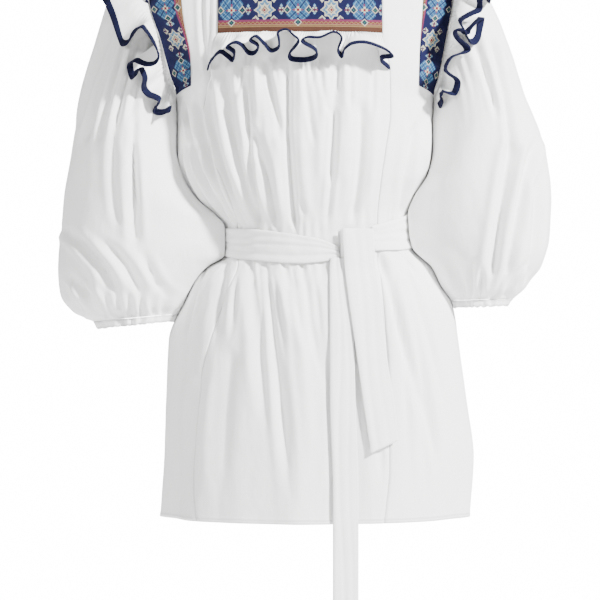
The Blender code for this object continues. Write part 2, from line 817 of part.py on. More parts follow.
def frill_edge(lobes):
    """The frill's free edge: stations along the seam with the rise and width there, three for
    each lobe and five for a wide one, and the share of the edge's length up to each."""
    stations = []
    for index, lobe in enumerate(lobes):
        before = lobes[max(0, index - 1)].rise
        after = lobes[min(len(lobes) - 1, index + 1)].rise
        count = 4 if lobe.end - lobe.start > WIDE_LOBE else 2
        for step in range(count + 1):
            share = step / count
            own = 0.68 + 0.32 * math.sin(math.pi * share)
            other = before if share < 0.5 else after
            rise = lobe.rise * own + other * (1 - own)
            stations.append((lobe.start + (lobe.end - lobe.start) * share, rise, lobe.width))
    lengths = [0.0]
    for here, there in zip(stations, stations[1:]):
        swing = math.radians(there[1] - here[1]) * here[2]
        lengths.append(lengths[-1] + math.hypot(there[0] - here[0], swing))
    return [(length / lengths[-1], *station) for length, station in zip(lengths, stations)]


def frill_surface(lobes, seam_start, seam_end, place):
    """The column is a station number of the edge, the row one of the frill's rows."""
    edge = frill_edge(lobes)

    def surface(column, row):
        number = max(0.0, min(len(edge) - 1.0, column))
        low = min(len(edge) - 2, int(number))
        share, along, rise, width = (
            a + (b - a) * (number - low) for a, b in zip(edge[low], edge[low + 1])
        )
        foot = seam_start + (seam_end - seam_start) * share
        if row > 1.5:
            reach = width - BINDING_WIDTH * (3 - row)
        else:
            reach = (width - BINDING_WIDTH - BINDING_GAP) * row
        station = foot + (along - foot) * max(0.0, reach / width)
        return place(station, reach, rise)

    return surface, list(range(len(edge)))


def swing_up(start, lying, tangent, reach, rise, sign, most=180):
    """Turns a lying point up round the seam by the rise, and by no more than the most."""
    flat = (lying - start).normalized()
    up = tangent.cross(flat).normalized() * sign
    angle = math.radians(min(rise, most))
    return start + (flat * math.cos(angle) + up * math.sin(angle)) * reach


CHEST_SEAM = RIBBON_FOOT - 1.6
CHEST_FRILL_LIFT = CLOTH + 0.6
# A lying frill is lifted off the cloth in full at these distances from its seam.
CHEST_LIFT_REACH = 12
SHOULDER_LIFT_REACH = 10


def chest_place(x, reach, rise):
    def on_panel(x_here, level, lift):
        base, outward = body_base(turn_of(x_here, level), level)
        return base + outward * lift

    start = on_panel(x, CHEST_SEAM, CHEST_FRILL_LIFT)
    if reach <= 0:
        return start
    lift = CHEST_FRILL_LIFT + FRILL_LIFT * min(1.0, reach / CHEST_LIFT_REACH)
    lying = on_panel(x, CHEST_SEAM - reach, lift)
    tangent = on_panel(x + 1, CHEST_SEAM, 0) - on_panel(x - 1, CHEST_SEAM, 0)
    return swing_up(start, lying, tangent, reach, rise, -1)


def shoulder_place(side, rings):
    sleeve = sleeve_surface(side, rings, [])

    def on_sleeve(turn, distance):
        """The point of the sleeve this far from the armhole, and its outward direction."""
        row, gone = 0.0, 0.0
        point = sleeve(turn, row)
        while True:
            ahead = sleeve(turn, row + SLEEVE_STEP)
            length = (ahead - point).length
            if gone + length >= distance or row > 5:
                break
            gone += length
            row += SLEEVE_STEP
            point = ahead
        share = (distance - gone) / length
        row += SLEEVE_STEP * share
        return point.lerp(ahead, share), facing(sleeve, turn, max(0.1, row), side).normalized()

    def place(turn, reach, rise):
        start = armhole_point(side, turn, FRILL_START)
        if reach <= 0:
            return start
        out = armhole_point(side, turn, (FRILL_START[0] + 1, FRILL_START[1])) - start
        into = armhole_point(side, turn, (FRILL_START[0], FRILL_START[1] + 1)) - start
        lying, outward = on_sleeve(turn, reach)
        lift = FRILL_LIFT * min(1.0, reach / SHOULDER_LIFT_REACH) + SLEEVE_CLEARANCE
        lying = lying + outward * lift
        ahead = armhole_point(side, turn + 1, FRILL_START)
        behind = armhole_point(side, turn - 1, FRILL_START)
        flat = lying - start
        most = FRILL_LEAN - math.degrees(math.atan2(flat.dot(out), flat.dot(into)))
        return swing_up(start, lying, ahead - behind, reach, rise, side, most)

    return place


def make_frill(name, lobes, seam_start, seam_end, place, sign):
    surface, stations = frill_surface(lobes, seam_start, seam_end, place)
    wall(name, POPLIN, surface, stations, FRILL_ROWS, FRILL_CLOTH, sign=sign)
    half_extra = (FRILL_CLOTH - BINDING) / 2
    wall(name.replace("ruffle", "ruffle_binding"), NAVY, surface, stations, BINDING_ROWS,
         BINDING, half_extra, sign=sign)


make_frill("chest_ruffle", CHEST_LOBES, -122, 105, chest_place, -1)
make_frill("shoulder_ruffle_left", SHOULDER_LOBES_LEFT, -146, 146,
           shoulder_place(-1, SLEEVE_LEFT), -1)
make_frill("shoulder_ruffle_right", SHOULDER_LOBES_RIGHT, -146, 146,
           shoulder_place(1, SLEEVE_RIGHT), 1)


def over_panels(turn, z, lift):
    """A point lifted off the panels' faces, which run straight between their levels."""
    low = max(level for level in LEVELS if level <= z)
    high = min(level for level in LEVELS if level > z)
    (foot, outward), (top, _) = body_base(turn, low), body_base(turn, high)
    return foot.lerp(top, (z - low) / (high - low)) + outward * lift


def belt_surface(turn, share):
    """The belt round the waist: the share runs from its lower to its upper edge."""
    top, foot = smooth_read(BELT, "top", turn), smooth_read(BELT, "foot", turn)
    return over_panels(turn, foot + (top - foot) * share, BELT_LIFT)


belt_turns = spread(BELT[0].turn, -20, 38) + [-12, -4, 4, 11, BELT[-1].turn]
wall("belt_wrap", POPLIN, belt_surface, belt_turns, [0, 0.33, 0.67, 1], BELT_CLOTH)


knot = bmesh.new()
bmesh.ops.create_cube(knot, size=1)
knot_size = (KNOT_RIGHT - KNOT_LEFT, KNOT_DEPTH, KNOT_TOP - KNOT_FOOT)
bmesh.ops.scale(knot, vec=knot_size, verts=knot.verts)
bmesh.ops.bevel(knot, geom=knot.edges[:], offset=KNOT_ROUND, affect="EDGES", segments=2,
                profile=0.5, material=-1)
bmesh.ops.subdivide_edges(knot, edges=[e for e in knot.edges if e.calc_length() > 12], cuts=3,
                          use_grid_fill=True)
middle = Vector(((KNOT_LEFT + KNOT_RIGHT) / 2, 0, (KNOT_TOP + KNOT_FOOT) / 2))
for vert in knot.verts:
    lift = BELT_LIFT + KNOT_DEPTH / 2 - vert.co.y
    x, z = middle.x + vert.co.x, middle.z + vert.co.z
    vert.co = over_panels(turn_of(x, z), z, lift)
cloth_object("belt_knot", POPLIN, knot)


def tail_surface(table):
    """A hanging belt end: the column is a share of its width, the row a height."""

    def surface(share, z):
        left, right = smooth_read(table, "left", z), smooth_read(table, "right", z)
        x = left + (right - left) * share
        base, outward = body_base(turn_of(x, max(z, HEM)), max(z, HEM))
        point = base + outward * smooth_read(table, "lift", z)
        return Vector((point.x, point.y, z))

    return surface


def cut_slanted(surface, foot, slant):
    """Tilts a tail's lower edge: its right side ends higher by the slant."""

    def tilted(share, z):
        near_foot = ease(foot + 60 - z, 0, 60)
        return surface(share, z + slant * share * near_foot)

    return tilted


TAIL_CLOTH = 1.6
TAIL_SHARES = [0, 0.5, 1]
LONG_ROWS = [-974, -890, HEM, -755, -700, -640, -580, -520, -480, -464, -452, -439.6]
SHORT_ROWS = [-709, -660, -610, -560, -510, -470, -445, -425, -405, -397]
SHORT_SLANT = 17
short_surface = cut_slanted(tail_surface(TAIL_SHORT), SHORT_ROWS[0], SHORT_SLANT)
wall("belt_tail_long", POPLIN, tail_surface(TAIL_LONG), TAIL_SHARES, LONG_ROWS, TAIL_CLOTH)
wall("belt_tail_short", POPLIN, short_surface, TAIL_SHARES, SHORT_ROWS, TAIL_CLOTH)
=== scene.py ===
import math
from collections import namedtuple

import bmesh
import bpy
import numpy as np
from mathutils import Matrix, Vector, noise


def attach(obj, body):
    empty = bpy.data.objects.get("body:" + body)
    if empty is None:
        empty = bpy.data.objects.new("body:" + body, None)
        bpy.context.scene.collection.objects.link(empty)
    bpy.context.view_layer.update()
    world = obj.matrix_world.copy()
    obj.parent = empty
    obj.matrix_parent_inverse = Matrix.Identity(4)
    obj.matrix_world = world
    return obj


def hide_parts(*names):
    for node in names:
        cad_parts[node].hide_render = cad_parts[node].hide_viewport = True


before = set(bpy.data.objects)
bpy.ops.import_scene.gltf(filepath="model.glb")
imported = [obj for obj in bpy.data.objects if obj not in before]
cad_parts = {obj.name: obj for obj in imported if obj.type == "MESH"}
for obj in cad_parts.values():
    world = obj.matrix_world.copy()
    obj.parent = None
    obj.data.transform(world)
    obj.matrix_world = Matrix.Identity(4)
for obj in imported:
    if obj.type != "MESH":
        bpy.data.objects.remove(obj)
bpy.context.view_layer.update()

# The studio: a plain white floor well below the garment, broad soft lights and a white room, as
# for a catalogue picture. The camera stands level, 3.5 m in front, at the waist's height.
MM = 0.001
FLOOR_LEVEL = -1.35
FLOOR_WHITE = (0.94, 0.94, 0.94, 1)
ROOM_SEEN = 16
ROOM_LIGHT = 0.36
CAMERA_AWAY = 3.5
CAMERA_ASIDE = -0.0086
CAMERA_LEVEL = -0.4973
SENSOR_WIDTH = 36
PICTURE_WIDTH = 0.864
floor_mesh = bmesh.new()
bmesh.ops.create_grid(floor_mesh, x_segments=1, y_segments=1, size=3)
bmesh.ops.translate(floor_mesh, vec=(0, 0, FLOOR_LEVEL), verts=floor_mesh.verts)
floor = bpy.data.objects.new("floor", bpy.data.meshes.new("floor"))
floor_mesh.to_mesh(floor.data)
floor_mesh.free()
bpy.context.scene.collection.objects.link(floor)
floor_paint = bpy.data.materials.new("floor_paint")
floor_paint.use_nodes = True
floor_shader = floor_paint.node_tree.nodes["Principled BSDF"]
floor_shader.inputs["Base Color"].default_value = FLOOR_WHITE
floor_shader.inputs["Roughness"].default_value = 0.9
floor.data.materials.append(floor_paint)

room = bpy.data.worlds.new("white_room")
room.use_nodes = True
room_nodes, join = room.node_tree.nodes, room.node_tree.links.new
seen_room = room_nodes["Background"]
seen_room.inputs["Color"].default_value = (1, 1, 1, 1)
seen_room.inputs["Strength"].default_value = ROOM_SEEN
soft_room = room_nodes.new("ShaderNodeBackground")
soft_room.inputs["Color"].default_value = (1, 0.995, 0.985, 1)
soft_room.inputs["Strength"].default_value = ROOM_LIGHT
either = room_nodes.new("ShaderNodeMixShader")
join(room_nodes.new("ShaderNodeLightPath").outputs["Is Camera Ray"], either.inputs[0])
join(soft_room.outputs[0], either.inputs[1])
join(seen_room.outputs[0], either.inputs[2])
join(either.outputs[0], room_nodes["World Output"].inputs[0])
bpy.context.scene.world = room

Lamp = namedtuple("Lamp", "name place size power")
for lamp in (
    Lamp("key_light", (2.5, -2.0, 1.6), 0.35, 680),
    Lamp("fill_light", (-2.6, -2.2, 0.9), 1.0, 95),
    Lamp("back_light", (-0.8, 2.8, 1.2), 1.4, 260),
):
    light = bpy.data.objects.new(lamp.name, bpy.data.lights.new(lamp.name, "AREA"))
    light.data.size = lamp.size
    light.data.energy = lamp.power
    light.location = lamp.place
    towards = Vector((0, 0, -0.45)) - light.location
    light.rotation_euler = towards.to_track_quat("-Z", "Y").to_euler()
    bpy.context.scene.collection.objects.link(light)

camera = bpy.data.objects.new("camera", bpy.data.cameras.new("camera"))
camera.data.sensor_width = SENSOR_WIDTH
camera.data.lens = SENSOR_WIDTH * CAMERA_AWAY / PICTURE_WIDTH
camera.location = (CAMERA_ASIDE, -CAMERA_AWAY, CAMERA_LEVEL)
camera.rotation_euler = (math.pi / 2, 0, 0)
bpy.context.scene.collection.objects.link(camera)
bpy.context.scene.camera = camera


# The cloth: bright white cotton poplin, a plain weave of fine even threads with soft crumples
# left from packing. Every cloth piece shares it; seams and hems are added piece by piece.
class Value:
    """A shader value: an expression on it adds the Math nodes."""

    def __init__(self, finish, socket):
        self.finish = finish
        self.socket = socket

    def maths(self, operation, *others):
        inputs = dict(enumerate((self, *others)))
        return self.finish.node("ShaderNodeMath", {"operation": operation}, inputs)

    def __add__(self, other):
        return self.maths("ADD", other)

    def __mul__(self, other):
        return self.maths("MULTIPLY", other)

    def __sub__(self, other):
        return self.maths("SUBTRACT", other)

    def __truediv__(self, other):
        return self.maths("DIVIDE", other)

    __radd__ = __add__
    __rmul__ = __mul__

    def __rsub__(self, other):
        return (self * -1) + other

    def __lt__(self, other):
        return self.maths("LESS_THAN", other)

    def __gt__(self, other):
        return self.maths("GREATER_THAN", other)

    def __abs__(self):
        return self.maths("ABSOLUTE")


class Finish:
    """One material: its Principled shader, and the nodes that feed it."""

    def __init__(self, name, colour, roughness):
        self.material = bpy.data.materials.new(name)
        self.material.use_nodes = True
        self.tree = self.material.node_tree
        self.shader = self.tree.nodes["Principled BSDF"]
        self.shader.inputs["Base Color"].default_value = (*colour, 1)
        self.shader.inputs["Roughness"].default_value = roughness
        self.shader.inputs["Specular IOR Level"].default_value = 0.12

    def node(self, kind, settings=None, inputs=None, output=0):
        made = self.tree.nodes.new(kind)
        for key, value in (settings or {}).items():
            setattr(made, key, value)
        for key, value in (inputs or {}).items():
            if isinstance(value, Value):
                self.tree.links.new(value.socket, made.inputs[key])
            else:
                made.inputs[key].default_value = value
        return Value(self, made.outputs[output])

    def mix(self, share, first, second):
        first, second = ((*c, 1) if isinstance(c, tuple) else c for c in (first, second))
        inputs = {0: share, 6: first, 7: second}
        return self.node("ShaderNodeMix", {"data_type": "RGBA"}, inputs, 2)

    def cloth_place(self):
        """Where a point lies on the flat cloth: across and along, in millimetres."""
        place = self.node("ShaderNodeUVMap", {"uv_map": "cloth"})
        across = self.node("ShaderNodeSeparateXYZ", None, {0: place}, 0)
        along = self.node("ShaderNodeSeparateXYZ", None, {0: place}, 1)
        return across * 1000, along * 1000

    def noise(self, scale, detail=2.0, stretch=(1, 1, 1)):
        """Soft noise on the object's own coordinates, in metres."""
        place = self.node("ShaderNodeTexCoord", None, None, 3)
        place = self.node("ShaderNodeMapping", None, {0: place, 3: stretch})
        return self.node(
            "ShaderNodeTexNoise", None, {"Vector": place, "Scale": scale, "Detail": detail}
        )

    def threads(self, across, along, pitch):
        """The height of a plain weave: over and under threads crossing at this pitch."""
        warp = (across * (2 * math.pi / pitch)).maths("SINE")
        weft = (along * (2 * math.pi / pitch)).maths("SINE")
        return warp * weft

    def bump(self, height, distance, strength=1.0, under=None):
        inputs = {"Strength": strength, "Distance": distance, "Height": height}
        if under is not None:
            inputs["Normal"] = under
        return self.node("ShaderNodeBump", None, inputs)

    def done(self, colour, normal):
        """Feeds the shader and gives the finished material."""
        self.tree.links.new(colour.socket, self.shader.inputs["Base Color"])
        self.tree.links.new(normal.socket, self.shader.inputs["Normal"])
        return self.material


POPLIN_WHITE = (0.83, 0.83, 0.82)
POPLIN_SHADE = (0.79, 0.79, 0.795)
POPLIN_SLUB = (0.86, 0.86, 0.85)
POPLIN_ROUGHNESS = 0.82
THREAD_PITCH = 0.9
THREAD_HEIGHT = 0.00006
STITCH_LENGTH = 1.4
STITCH_HALF = 0.45
STITCH_GREY = (0.62, 0.62, 0.65)


def stitches(away, run):
    """Machine stitches where away is near 0: where the thread shows, and its height."""
    stitched = (away < STITCH_HALF) * ((run * (math.pi / STITCH_LENGTH)).maths("SINE") > -0.5)
    return stitched, stitched + (away < 1.0) * -1.0


def poplin_finish(name, stitch_rows=()):
    """White poplin; each stitch row is a line of machine stitches at that many millimetres
    along the cloth."""
    finish = Finish(name, POPLIN_WHITE, POPLIN_ROUGHNESS)
    across, along = finish.cloth_place()
    colour = finish.mix(finish.noise(14, 3), POPLIN_SHADE, POPLIN_WHITE)
    slub = finish.noise(420, 1, (1, 1, 0.06))
    colour = finish.mix((slub - 0.5) * 0.5 + 0.2, colour, POPLIN_SLUB)
    normal = finish.bump(finish.noise(38, 3, (1, 1, 0.45)), 0.003, 0.7)
    thread = finish.threads(across, along, THREAD_PITCH)
    normal = finish.bump(thread, THREAD_HEIGHT, 0.6, normal)
    for row in stitch_rows:
        stitched, height = stitches(abs(along - row), across)
        colour = finish.mix(stitched * 0.45, colour, STITCH_GREY)
        normal = finish.bump(height, 0.0006, 1.0, normal)
    return finish.done(colour, normal)


# The body: front and back centre panels and four strap-and-side panels, cut from the poplin and
# sewn along the princess seams. Their form is the solids' own, with the soft fine folds that
# run from the gathered neck seam to the belt and from the belt to the hem.
CLOTH = 1.2
SEAM_GAP = 0.3
HEM = -806.0
NECK_RISE = 33.0
SHOULDER_FADE = 90.0
FRONT_NECK = -67.0
RIBBON_FOOT = -121.0
BACK_NECK = -30.0
BACK_BAND_FOOT = -67.0
UNDERARM = -212.0

Section = namedtuple("Section", "z left right front back")
SECTIONS = [
    Section(HEM, 206, 232, 160, 150),
    Section(-720, 201, 239, 154, 146),
    Section(-641, 199, 230, 149, 141),
    Section(-554, 196, 218, 140, 132),
    Section(-504, 177, 210, 130, 124),
    Section(-474, 163, 193, 119, 115),
    Section(-450, 143, 181, 102, 106),
    Section(-434, 118, 163, 100, 96),
    Section(-424, 117, 154, 100, 90),
    Section(-404, 117, 149, 100, 89),
    Section(-392, 118, 148, 102, 89),
    Section(-376, 131, 147, 105, 90),
    Section(-350, 160, 156, 112, 97),
    Section(-317, 179, 176, 119, 101),
    Section(-281, 187, 183, 124, 105),
    Section(UNDERARM, 186, 183, 124, 106),
    Section(-173, 209, 204, 119, 104),
    Section(-122, 230, 220, 109, 97),
    Section(-67, 247, 230, 89, 81),
    Section(-30, 240, 224, 60, 56),
    Section(-12, 234, 219, 37, 35),
    Section(-3, 231, 217, 18, 18),
    Section(0, 230, 216, 0.1, 0.1),
]
Seam = namedtuple("Seam", "z left right")
FRONT_SEAMS = [
    Seam(HEM, 150, 107),
    Seam(-729, 157, 115),
    Seam(-616, 147, 115),
    Seam(-509, 121, 108),
    Seam(-444, 96, 103),
    Seam(-388, 98, 100),
    Seam(-329, 116, 105),
    Seam(-287, 132, 111),
    Seam(-231, 143, 118),
    Seam(-177, 137, 117),
    Seam(-121, 123, 106),
    Seam(0, 123, 106),
]
BACK_SEAMS = [
    Seam(HEM, 146, 138),
    Seam(-616, 128, 120),
    Seam(-430, 80, 84),
    Seam(-390, 80, 84),
    Seam(-212, 130, 118),
    Seam(-121, 123, 106),
    Seam(0, 123, 106),
]
RIBBON_INNER = [
    Seam(HEM, 178, 190),
    Seam(-554, 166, 176),
    Seam(-396, 108, 128),
    Seam(-281, 170, 158),
    Seam(-200, 161, 158),
    Seam(-158, 162, 159),
    Seam(-102, 172, 163),
    Seam(0, 184, 172),
]
Armhole = namedtuple("Armhole", "z turn")
ARMHOLE = [
    Armhole(HEM, 90),
    Armhole(UNDERARM, 90),
    Armhole(-207, 83),
    Armhole(-195, 75),
    Armhole(-170, 68),
    Armhole(-120, 65),
    Armhole(-65, 65),
    Armhole(-30, 70),
    Armhole(-10, 80),
    Armhole(0, 90),
]
# Folds: the course runs through three points, a negative depth is a trough.
Fold = namedtuple("Fold", "z_top x_top z_mid x_mid z_end x_end width depth")
FRONT_FOLDS = [
    Fold(-185, -147, -267, -143, -395, -108, 8, -4.2),
    Fold(-170, -136, -291, -123, -399, -77, 7, -7.0),
    Fold(-165, -113, -280, -98, -399, -64, 8, -9.1),
    Fold(-150, -90, -190, -94, -225, -99, 6, -5.6),
    Fold(-165, -85, -300, -77, -402, -61, 7, -7.7),
    Fold(-150, -58, -215, -47, -280, -36, 8, -6.3),
    Fold(-250, -75, -320, -57, -402, -43, 7, -7.7),
    Fold(-165, -26, -300, -23, -402, -14, 9, -8.4),
    Fold(-150, 46, -235, 38, -340, 34, 8, -6.3),
    Fold(-215, 76, -300, 76, -395, 64, 9, -7.0),
    Fold(-240, 156, -296, 146, -390, 133, 9, -7.0),
    Fold(-225, 170, -280, 172, -330, 165, 8, 4.2),
    Fold(-430, -112, -500, -122, -575, -129, 9, -5.6),
    Fold(-430, -78, -560, -62, -700, -53, 10, -7.3),
    Fold(-430, -58, -600, -38, -800, -18, 8, -8.2),
    Fold(-430, -34, -500, -15, -570, 0, 8, -5.6),
    Fold(-430, -6, -510, 4, -625, 26, 9, -5.6),
    Fold(-425, 102, -570, 143, -745, 190, 9, -10.0),
    Fold(-425, 130, -456, 154, -500, 176, 8, -4.5),
    Fold(-600, -150, -700, -158, -790, -154, 12, -4.5),
    Fold(-470, -20, -620, 2, -780, 8, 16, 5.6),
    # Hollows that run down the left side into the end of the belt.
    Fold(-275, -174, -326, -167, -396, -112, 5, -7.0),
    Fold(-262, -164, -326, -156, -396, -106, 5, -7.0),
    Fold(-262, -153, -326, -142, -396, -100, 6, -9.0),
    Fold(-262, -138, -326, -127, -396, -92, 6, -9.0),
    Fold(-208, -154, -268, -144, -330, -128, 5, -7.0),
    Fold(-208, -172, -268, -162, -345, -134, 5, -7.0),
    # The left strap is drawn together beside the neck seam.
    Fold(-50, -145, -140, -142, -215, -130, 4, -4.0),
    Fold(-40, -137, -120, -136, -200, -139, 3, -3.0),
    # Finer gathers from the neck seam.
    Fold(-155, -91, -183, -92, -214, -95, 3.4, -3.4),
    Fold(-150, -57, -211, -46, -268, -34, 3.6, -3.1),
    Fold(-187, -85, -274, -80, -398, -66, 3.6, -3.4),
    Fold(-219, -115, -288, -99, -396, -69, 4, -3.6),
    Fold(-240, -132, -302, -119, -398, -87, 4, -3.6),
    Fold(-283, -71, -343, -50, -401, -41, 3.6, -3.4),
    Fold(-150, -24, -302, -23, -408, -13, 3.4, -3.6),
    Fold(-150, -4, -223, 3, -285, 12, 3.6, -3.1),
    Fold(-350, -9, -374, -2, -398, 8, 5, -3.6),
    Fold(-140, 8, -183, 8, -206, 8, 3, -2.8),
    Fold(-222, 41, -313, 36, -401, 28, 4, -3.9),
    Fold(-150, 46, -187, 45, -216, 44, 3.4, -4.2),
    Fold(-243, 78, -302, 76, -388, 65, 3.6, -2.2),
    Fold(-140, -109, -179, -115, -210, -122, 3.6, -2.8),
    Fold(-140, -76, -204, -76, -250, -70, 3.6, -2.8),
    Fold(-140, -44, -182, -41, -205, -38, 3, -2.5),
    Fold(-140, 19, -190, 22, -228, 28, 3.4, -2.8),
    Fold(-140, 61, -196, 61, -238, 60, 3.6, -2.5),
    Fold(-140, 92, -204, 93, -250, 90, 3.6, -2.2),
    Fold(-218, 26, -232, 33, -250, 38, 5, -4.5),
    # Finer gathers below the belt.
    Fold(-432, 88, -520, 104, -640, 124, 6, -4.0),
    Fold(-440, 140, -540, 168, -660, 196, 7, -4.8),
    Fold(-440, 131, -600, 164, -790, 188, 7, -6.0),
    Fold(-450, 122, -620, 140, -790, 146, 8, -6.0),
    Fold(-560, -104, -660, -112, -790, -116, 12, -3.0),
    Fold(-600, 96, -700, 104, -790, 108, 9, -4.0),
    Fold(-610, 150, -700, 164, -790, 170, 9, -4.0),
    Fold(-440, -96, -490, -99, -560, -106, 4, -2.5),
    Fold(-436, -68, -500, -62, -590, -60, 4, -2.7),
    Fold(-436, -48, -500, -38, -600, -24, 4, -2.7),
    Fold(-436, -22, -480, -14, -560, -4, 4, -2.5),
    Fold(-440, 10, -490, 16, -560, 22, 4, -2.2),
    Fold(-440, 96, -490, 104, -560, 112, 4, -2.5),
    Fold(-432, 116, -470, 130, -540, 152, 4.5, -2.9),
    Fold(-440, -138, -500, -158, -600, -172, 5, -2.5),
]
BACK_FOLDS = [
    Fold(-120, -95, -260, -82, -395, -52, 9, -7.0),
    Fold(-150, -50, -280, -40, -395, -26, 8, -7.0),
    Fold(-100, 8, -250, 4, -395, 2, 10, -7.0),
    Fold(-160, 52, -280, 45, -390, 30, 8, -7.0),
    Fold(-130, 92, -260, 84, -390, 58, 9, -7.0),
    Fold(-235, -150, -300, -140, -385, -100, 9, -5.6),
    Fold(-235, 150, -300, 142, -380, 112, 9, -5.6),
    Fold(-425, -92, -560, -120, -740, -150, 11, -7.4),
    Fold(-425, -48, -600, -62, -800, -76, 10, -7.4),
    Fold(-425, 6, -590, 4, -720, -2, 11, -6.7),
    Fold(-425, 50, -600, 66, -800, 82, 10, -7.4),
    Fold(-425, 100, -560, 128, -700, 156, 11, -7.4),
    Fold(-80, -72, -180, -66, -330, -48, 4, -3.4),
    Fold(-75, -30, -150, -24, -260, -20, 4, -3.1),
    Fold(-80, 28, -170, 26, -300, 18, 4, -3.4),
    Fold(-75, 70, -160, 68, -280, 56, 4, -3.1),
    Fold(-250, -110, -320, -96, -395, -70, 4.5, -3.6),
    Fold(-240, 18, -320, 14, -395, 12, 4, -3.4),
    Fold(-250, 112, -320, 100, -395, 74, 4.5, -3.6),
    Fold(-430, -70, -500, -84, -620, -100, 5, -3.1),
    Fold(-430, -20, -500, -26, -600, -34, 5, -2.9),
    Fold(-430, 28, -500, 34, -620, 38, 5, -3.1),
    Fold(-430, 76, -500, 92, -600, 108, 5, -2.9),
]
FOLD_FADE = 24.0
# A fold that ends above this height runs into the belt. A lower one fades out over this share of
# its length.
BELT_FOLDS_END = HEM / 2 - 20
SKIRT_FADE = 0.45
HEM_TURN = 0.6
# How far from the belt the cloth doesn't swell out, and how far its gathers reach.
BELT_CALM = 46
WAIST_PULL = 34
WAIST_GATHERS = 24
WAIST_GATHER_DEPTH = 2.2
FINE_GATHER_DEPTH = 1.1
FLUTE_START = 0.58
FLUTE_DEPTH = 3.0
Belt = namedtuple("Belt", "turn top foot")
BELT = [
    Belt(-322.4, -393, -428),
    Belt(-298, -381, -426),
    Belt(-270, -371, -418),
    Belt(-180, -378, -420),
    Belt(-90, -394, -432),
    Belt(-43, -397, -440),
    Belt(-3, -407, -446),
    Belt(7, -412, -444),
    Belt(16.6, -422, -438),
]


def read(table, column, at):
    """A column of a table at these heights, on a smooth curve through its rows that never
    overshoots them. The table's first column rises."""
    at = np.asarray(at, float)
    keys = np.array([row[0] for row in table], float)
    values = np.array([getattr(row, column) for row in table], float)
    rates = np.diff(values) / np.diff(keys)
    slopes = np.concatenate([rates[:1], np.zeros(len(keys) - 2), rates[-1:]])
    product = rates[:-1] * rates[1:]
    total = rates[:-1] + rates[1:]
    same = product > 0
    slopes[1:-1][same] = 2 * product[same] / total[same]
    held = np.clip(at, keys[0], keys[-1])
    place = np.clip(np.searchsorted(keys, held, side="right") - 1, 0, len(keys) - 2)
    span = keys[place + 1] - keys[place]
    t = (held - keys[place]) / span
    return (
        values[place] * (1 + 2 * t) * (1 - t) ** 2
        + values[place + 1] * t * t * (3 - 2 * t)
        + span * slopes[place] * t * (1 - t) ** 2
        - span * slopes[place + 1] * t * t * (1 - t)
    )


def ease(value, low, high):
    """0 below low, 1 above high, smooth between."""
    t = np.clip((np.asarray(value, float) - low) / (high - low), 0, 1)
    return t * t * (3 - 2 * t)


def bell(distance, width):
    return np.exp(-((np.asarray(distance, float) / width) ** 2))


def crease(distance, width):
    """Like the bell but with a narrow, nearly sharp bottom, as a fold in crisp cotton has."""
    return np.exp(-(abs(np.asarray(distance, float) / width) ** 1.25))


def by_side(table, sine, level):
    """A table's left or right column, whichever side of the middle the point is on."""
    return np.where(sine > 0, read(table, "right", level), read(table, "left", level))


def depth_at(in_front, level):
    """How far the body reaches forward or back at this height."""
    return np.where(in_front, read(SECTIONS, "front", level), read(SECTIONS, "back", level))


def turn_of(x, level, back=False):
    """The turn round the body, in degrees, of the point at this x and height."""
    turn = np.degrees(np.arcsin(np.clip(x / by_side(SECTIONS, x, level), -1, 1)))
    return np.where(x > 0, 180 - turn, -180 - turn) if back else turn


def course(fold, level):
    """The x of a fold's line at this height, on the parabola through its three points."""
    top, mid, end = fold.z_top, fold.z_mid, fold.z_end
    return (
        fold.x_top * (level - mid) * (level - end) / ((top - mid) * (top - end))
        + fold.x_mid * (level - top) * (level - end) / ((mid - top) * (mid - end))
        + fold.x_end * (level - top) * (level - mid) / ((end - top) * (end - mid))
    )


def waist_level(turn):
    """The height of the belt's middle at a turn round the body."""
    place = np.where(turn <= BELT[-1].turn, turn, turn - 360)
    return (read(BELT, "top", place) + read(BELT, "foot", place)) / 2


def soft_noise(points, across, along, seed):
    """Smooth uneven values from -1 to 1, longer along than across."""
    return np.array([
        noise.noise(Vector((x / across + seed, y / across, z / along)))
        for x, y, z in points.reshape(-1, 3)
    ]).reshape(points.shape[:-1])


def body_base(turn, level):
    """Points of the plain body form and their horizontal outward directions."""
    sine, cosine = np.sin(np.radians(turn)), np.cos(np.radians(turn))
    half = by_side(SECTIONS, sine, level)
    depth = depth_at(cosine > 0, level)
    gap = np.where(cosine > -1e-9, SEAM_GAP / 2, -SEAM_GAP / 2)
    x = half * sine
    tip = by_side(SECTIONS, sine, 0 * level)
    neck = by_side(FRONT_SEAMS, sine, 0 * level)
    rise = NECK_RISE * np.clip((tip - abs(x)) / (tip - neck), 0, 1)
    z = level + rise * np.maximum(0, 1 + level / SHOULDER_FADE)
    outward = np.stack([depth * sine, -half * cosine, 0 * half], -1)
    outward /= np.linalg.norm(outward, axis=-1, keepdims=True)
    return np.stack([x, -depth * cosine - gap, z], -1), outward


def shown_along(fold, level, fade_end, fade_top):
    """1 along a fold's course, fading to 0 at its two ends."""
    shown = ease(level, fold.z_end, fold.z_end + fade_end)
    return shown * (1 - ease(level, fold.z_top - fade_top, fold.z_top))


